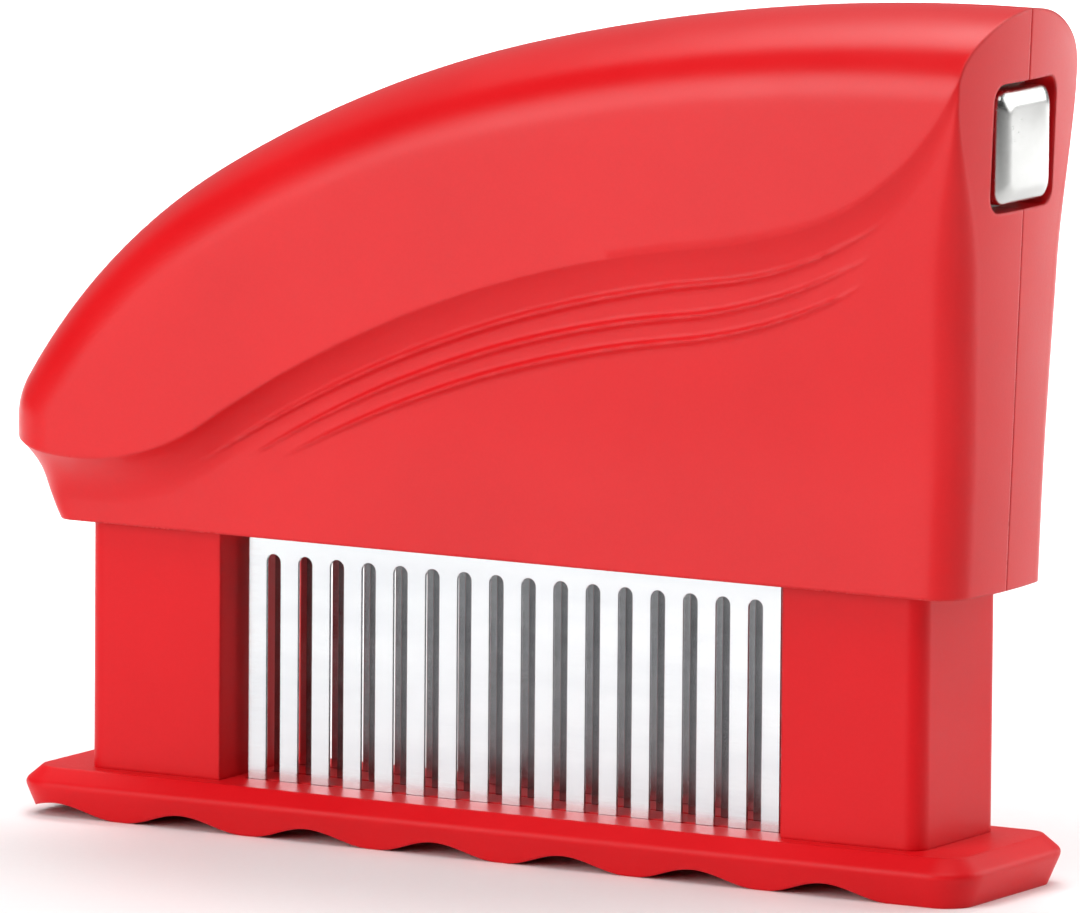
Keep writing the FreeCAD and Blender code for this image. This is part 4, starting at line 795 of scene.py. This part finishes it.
# %% Guard plate
PLATE_LONG, PLATE_DEEP, PLATE_THICK, PLATE_CORNER = 160.6, 34.4, 7.2, 6.5
RIM_HIGH, WALL_LEAN, BEVEL_WIDE = 4.9, 2.1, 2.7
RIM_FOOT, RIM_KNEE, RIM_TOP = (0.351, RIM_HIGH - 0.82), (0.0, RIM_HIGH), (0.622, RIM_HIGH + 0.53)
bow = np.linspace(0, 1, 7)[:, None]
rim = (1 - bow) ** 2 * RIM_FOOT + 2 * bow * (1 - bow) * RIM_KNEE + bow ** 2 * RIM_TOP
section = np.vstack([[(WALL_LEAN, 0.0)], rim, [(BEVEL_WIDE, PLATE_THICK)]])
rings = []
for step, high in section:
    ring = rounded(PLATE_LONG - 2 * step, PLATE_DEEP - 2 * step, PLATE_CORNER - step, steps=12)
    rings.append(np.column_stack([ring, np.full(len(ring), high - UNDERSIDE)]))
guard = stacked("scalloped_guard", rings)

# %% Hollows, slits and screw holes of the guard
FIRST_HOLLOW, HOLLOWS, PITCH, HOLLOW_HALF, HOLLOW_HIGH = -72.9, 7, 21.6, 10.2, 2.1
SLIT_HALF, SLIT_WIDE, ROW_GAP = 45.18, 1.0, 7.4
SCREW_AT, HEAD, SINK = (51.4, 65.8), 2.85, 4.45
BELOW_PLATE, ABOVE_PLATE, PAST_PLATE = -1 - UNDERSIDE, 8 - UNDERSIDE, 20.0
run_x = np.linspace(-1, 1, 41)
wave_high = HOLLOW_HIGH * (0.5 + 0.5 * np.cos(np.pi * run_x)) - UNDERSIDE
wave = np.column_stack([run_x * HOLLOW_HALF, wave_high])
wave = np.vstack([wave, [(HOLLOW_HALF, BELOW_PLATE), (-HOLLOW_HALF, BELOW_PLATE)]])
for number in range(HOLLOWS):
    cut(guard, prism("hollow", wave + (FIRST_HOLLOW + number * PITCH, 0.0), -PAST_PLATE, PAST_PLATE))
for row in (-1, 0, 1):
    slit = rounded(2 * SLIT_HALF, SLIT_WIDE, 0.1, (0.0, row * ROW_GAP), steps=2)
    cut(guard, prism("slit", slit, BELOW_PLATE, ABOVE_PLATE, "xy"))
for side in (-1, 1):
    for at in SCREW_AT:
        seat = disc(np.array([side * at, 0.0]), HEAD)
        cut(guard, prism("screw_seat", seat, BELOW_PLATE, SINK - UNDERSIDE, "xy"))

# %% [markdown]
# ### Button cap
#
# The cap is a cast block whose face edge is ground to a wide soft bevel, and it is plated.  Rings of
# rounded rectangles carry it from its back to its face: each ring is a little smaller and a little
# further out, so the bevel is crowned like a ground edge and runs into the flat face without a line.

# %% Button cap
BUTTON_WIDE, BUTTON_HIGH, BUTTON_CORNER, CORNER_SHRINKS = 15.2, 16.4, 2.2, 0.3
inset = np.array([0.0, 0.0, 0.08, 0.28, 0.6, 1.0, 1.4, 1.75, 2.05, 2.3])
stands = np.array([73.2, 78.6, 78.92, 79.22, 79.48, 79.72, 79.92, 80.06, 80.15, 80.18])
rings = []
for step, at in zip(inset, stands):
    corner = BUTTON_CORNER - CORNER_SHRINKS * step
    ring = rounded(BUTTON_WIDE - 2 * step, BUTTON_HIGH - 2 * step, corner, (0.0, BUTTON_LEVEL))
    rings.append(np.column_stack([np.full(len(ring), at), ring]))
button = stacked("button_block", rings)

# %% [markdown]
# ### Springs
#
# A compression spring is one round wire on a helix, with its end coils wound close so that it stands
# square.  It is a ring of points carried along that helix, built here at one length.  When a real one is
# pressed its wire twists, and from outside that looks like the whole helix being pressed towards its seat.

# %% Three springs
STEPS_A_TURN, WIRE_SIDES = 30, 10


def spring(name, seat, mean, wire, turns, length, upright):
    """A tube round a helix: the climb is even but for the first and last turn, where the coils touch, and
    the tube's ring stands on the outward direction and on the one square to it and to the wire."""
    turned = np.linspace(0, turns, int(turns * STEPS_A_TURN) + 1)
    touching = 2.1 * wire
    climb = wire + np.interp(turned, [0, 1, turns - 1, turns],
                             [0, touching, length - 2 * wire - touching, length - 2 * wire])
    angle = 2 * np.pi * turned
    outwards = np.column_stack([np.cos(angle), np.sin(angle), 0 * angle])
    middle = mean * outwards + np.column_stack([0 * angle, 0 * angle, climb])
    ahead = np.gradient(middle, axis=0)
    ahead /= np.linalg.norm(ahead, axis=1, keepdims=True)
    across_wire = np.cross(ahead, outwards)
    turn = np.linspace(0, 2 * np.pi, WIRE_SIDES + 1)[:-1]
    tube = middle[:, None] + wire * (np.cos(turn)[:, None] * outwards[:, None]
                                     + np.sin(turn)[:, None] * across_wire[:, None])
    rows, count = tube.shape[:2]
    points = tube.reshape(-1, 3)
    if not upright:
        points = points[:, [2, 0, 1]]
    return stacked(name, (points + seat).reshape(rows, count, 3))


ROD_AT, SPRING_FOOT, SPRING_LONG, STROKE = 58.6, -33.85, 65.8, 25.0
left_coil, right_coil = (
    spring(name, seat=(at, 0.0, SPRING_FOOT), mean=4.6, wire=0.55, turns=11,
           length=SPRING_LONG, upright=True)
    for name, at in (("left_coil", -ROD_AT), ("right_coil", ROD_AT)))
RETURN_FOOT, RETURN_LONG, BUTTON_STROKE = 58.45, 13.98, 2.5
return_coil = spring("return_coil", seat=(RETURN_FOOT, 0.0, BUTTON_LEVEL), mean=5.0, wire=0.4, turns=5,
                     length=RETURN_LONG, upright=False)

# %% [markdown]
# ## Taking the places of the exact pieces
#
# Each new piece rides on the body of the piece it replaces and takes the finish of that piece's slot.
# Its normals are smooth but for edges that turn by more than 33 degrees, so sharp edges stay crisp.  Each
# spring is given its own copy of its mesh.

# %% Riding and finish of the new pieces
SHARP_FROM = np.radians(33)
FINISHES = {"red_guard": red_guard, "red_shell": red_grip, "blade_steel": blade_steel,
            "small_steel": wire_steel, "carrier_plastic": white, "button_metal": button_plating}
for piece, node, body, slot in (
        (shells[0], "front_shell", "grip", "red_shell"), (shells[1], "rear_shell", "grip", "red_shell"),
        (guard, "guard_plate", "guard", "red_guard"), (button, "button_cap", "button", "button_metal"),
        (left_coil, "left_spring", "guard", "small_steel"),
        (right_coil, "right_spring", "guard", "small_steel"),
        (return_coil, "button_spring", "grip", "small_steel")):
    piece.data.shade_smooth()
    piece.data.set_sharp_from_angle(angle=SHARP_FROM)
    piece.data.materials.clear()
    piece.data.materials.append(FINISHES[slot])
    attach(piece, body)
    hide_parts(node)
    print(piece.name, len(piece.data.vertices), "points,", len(piece.data.polygons), "faces")
for coil, at in ((left_coil, -ROD_AT), (right_coil, ROD_AT)):
    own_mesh(coil)
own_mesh(return_coil)

# %% [markdown]
# ## Putting the finishes on
#
# The record names a slot for every piece, and each slot has one finish, so the exact pieces take theirs
# in one loop.  The middle comb alone differs: its steel is given a darker colour, painted shade for a
# comb that stands between the other two, where less light reaches it.

# %% Finishes on the exact pieces
for part in frame["record"]["subparts"]:
    for holder in nodes[part["node"]].material_slots:
        holder.material = FINISHES[part["material_slot"]]
# The middle comb takes the darker steel, which is painted shade between the combs.
for holder in nodes["blade_comb_middle"].material_slots:
    holder.material = shaded_comb_steel

# %% The size of the dressed tool
low, high = (list(corner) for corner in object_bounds())
print("dressed box:", [round(v, 4) for v in low + high])
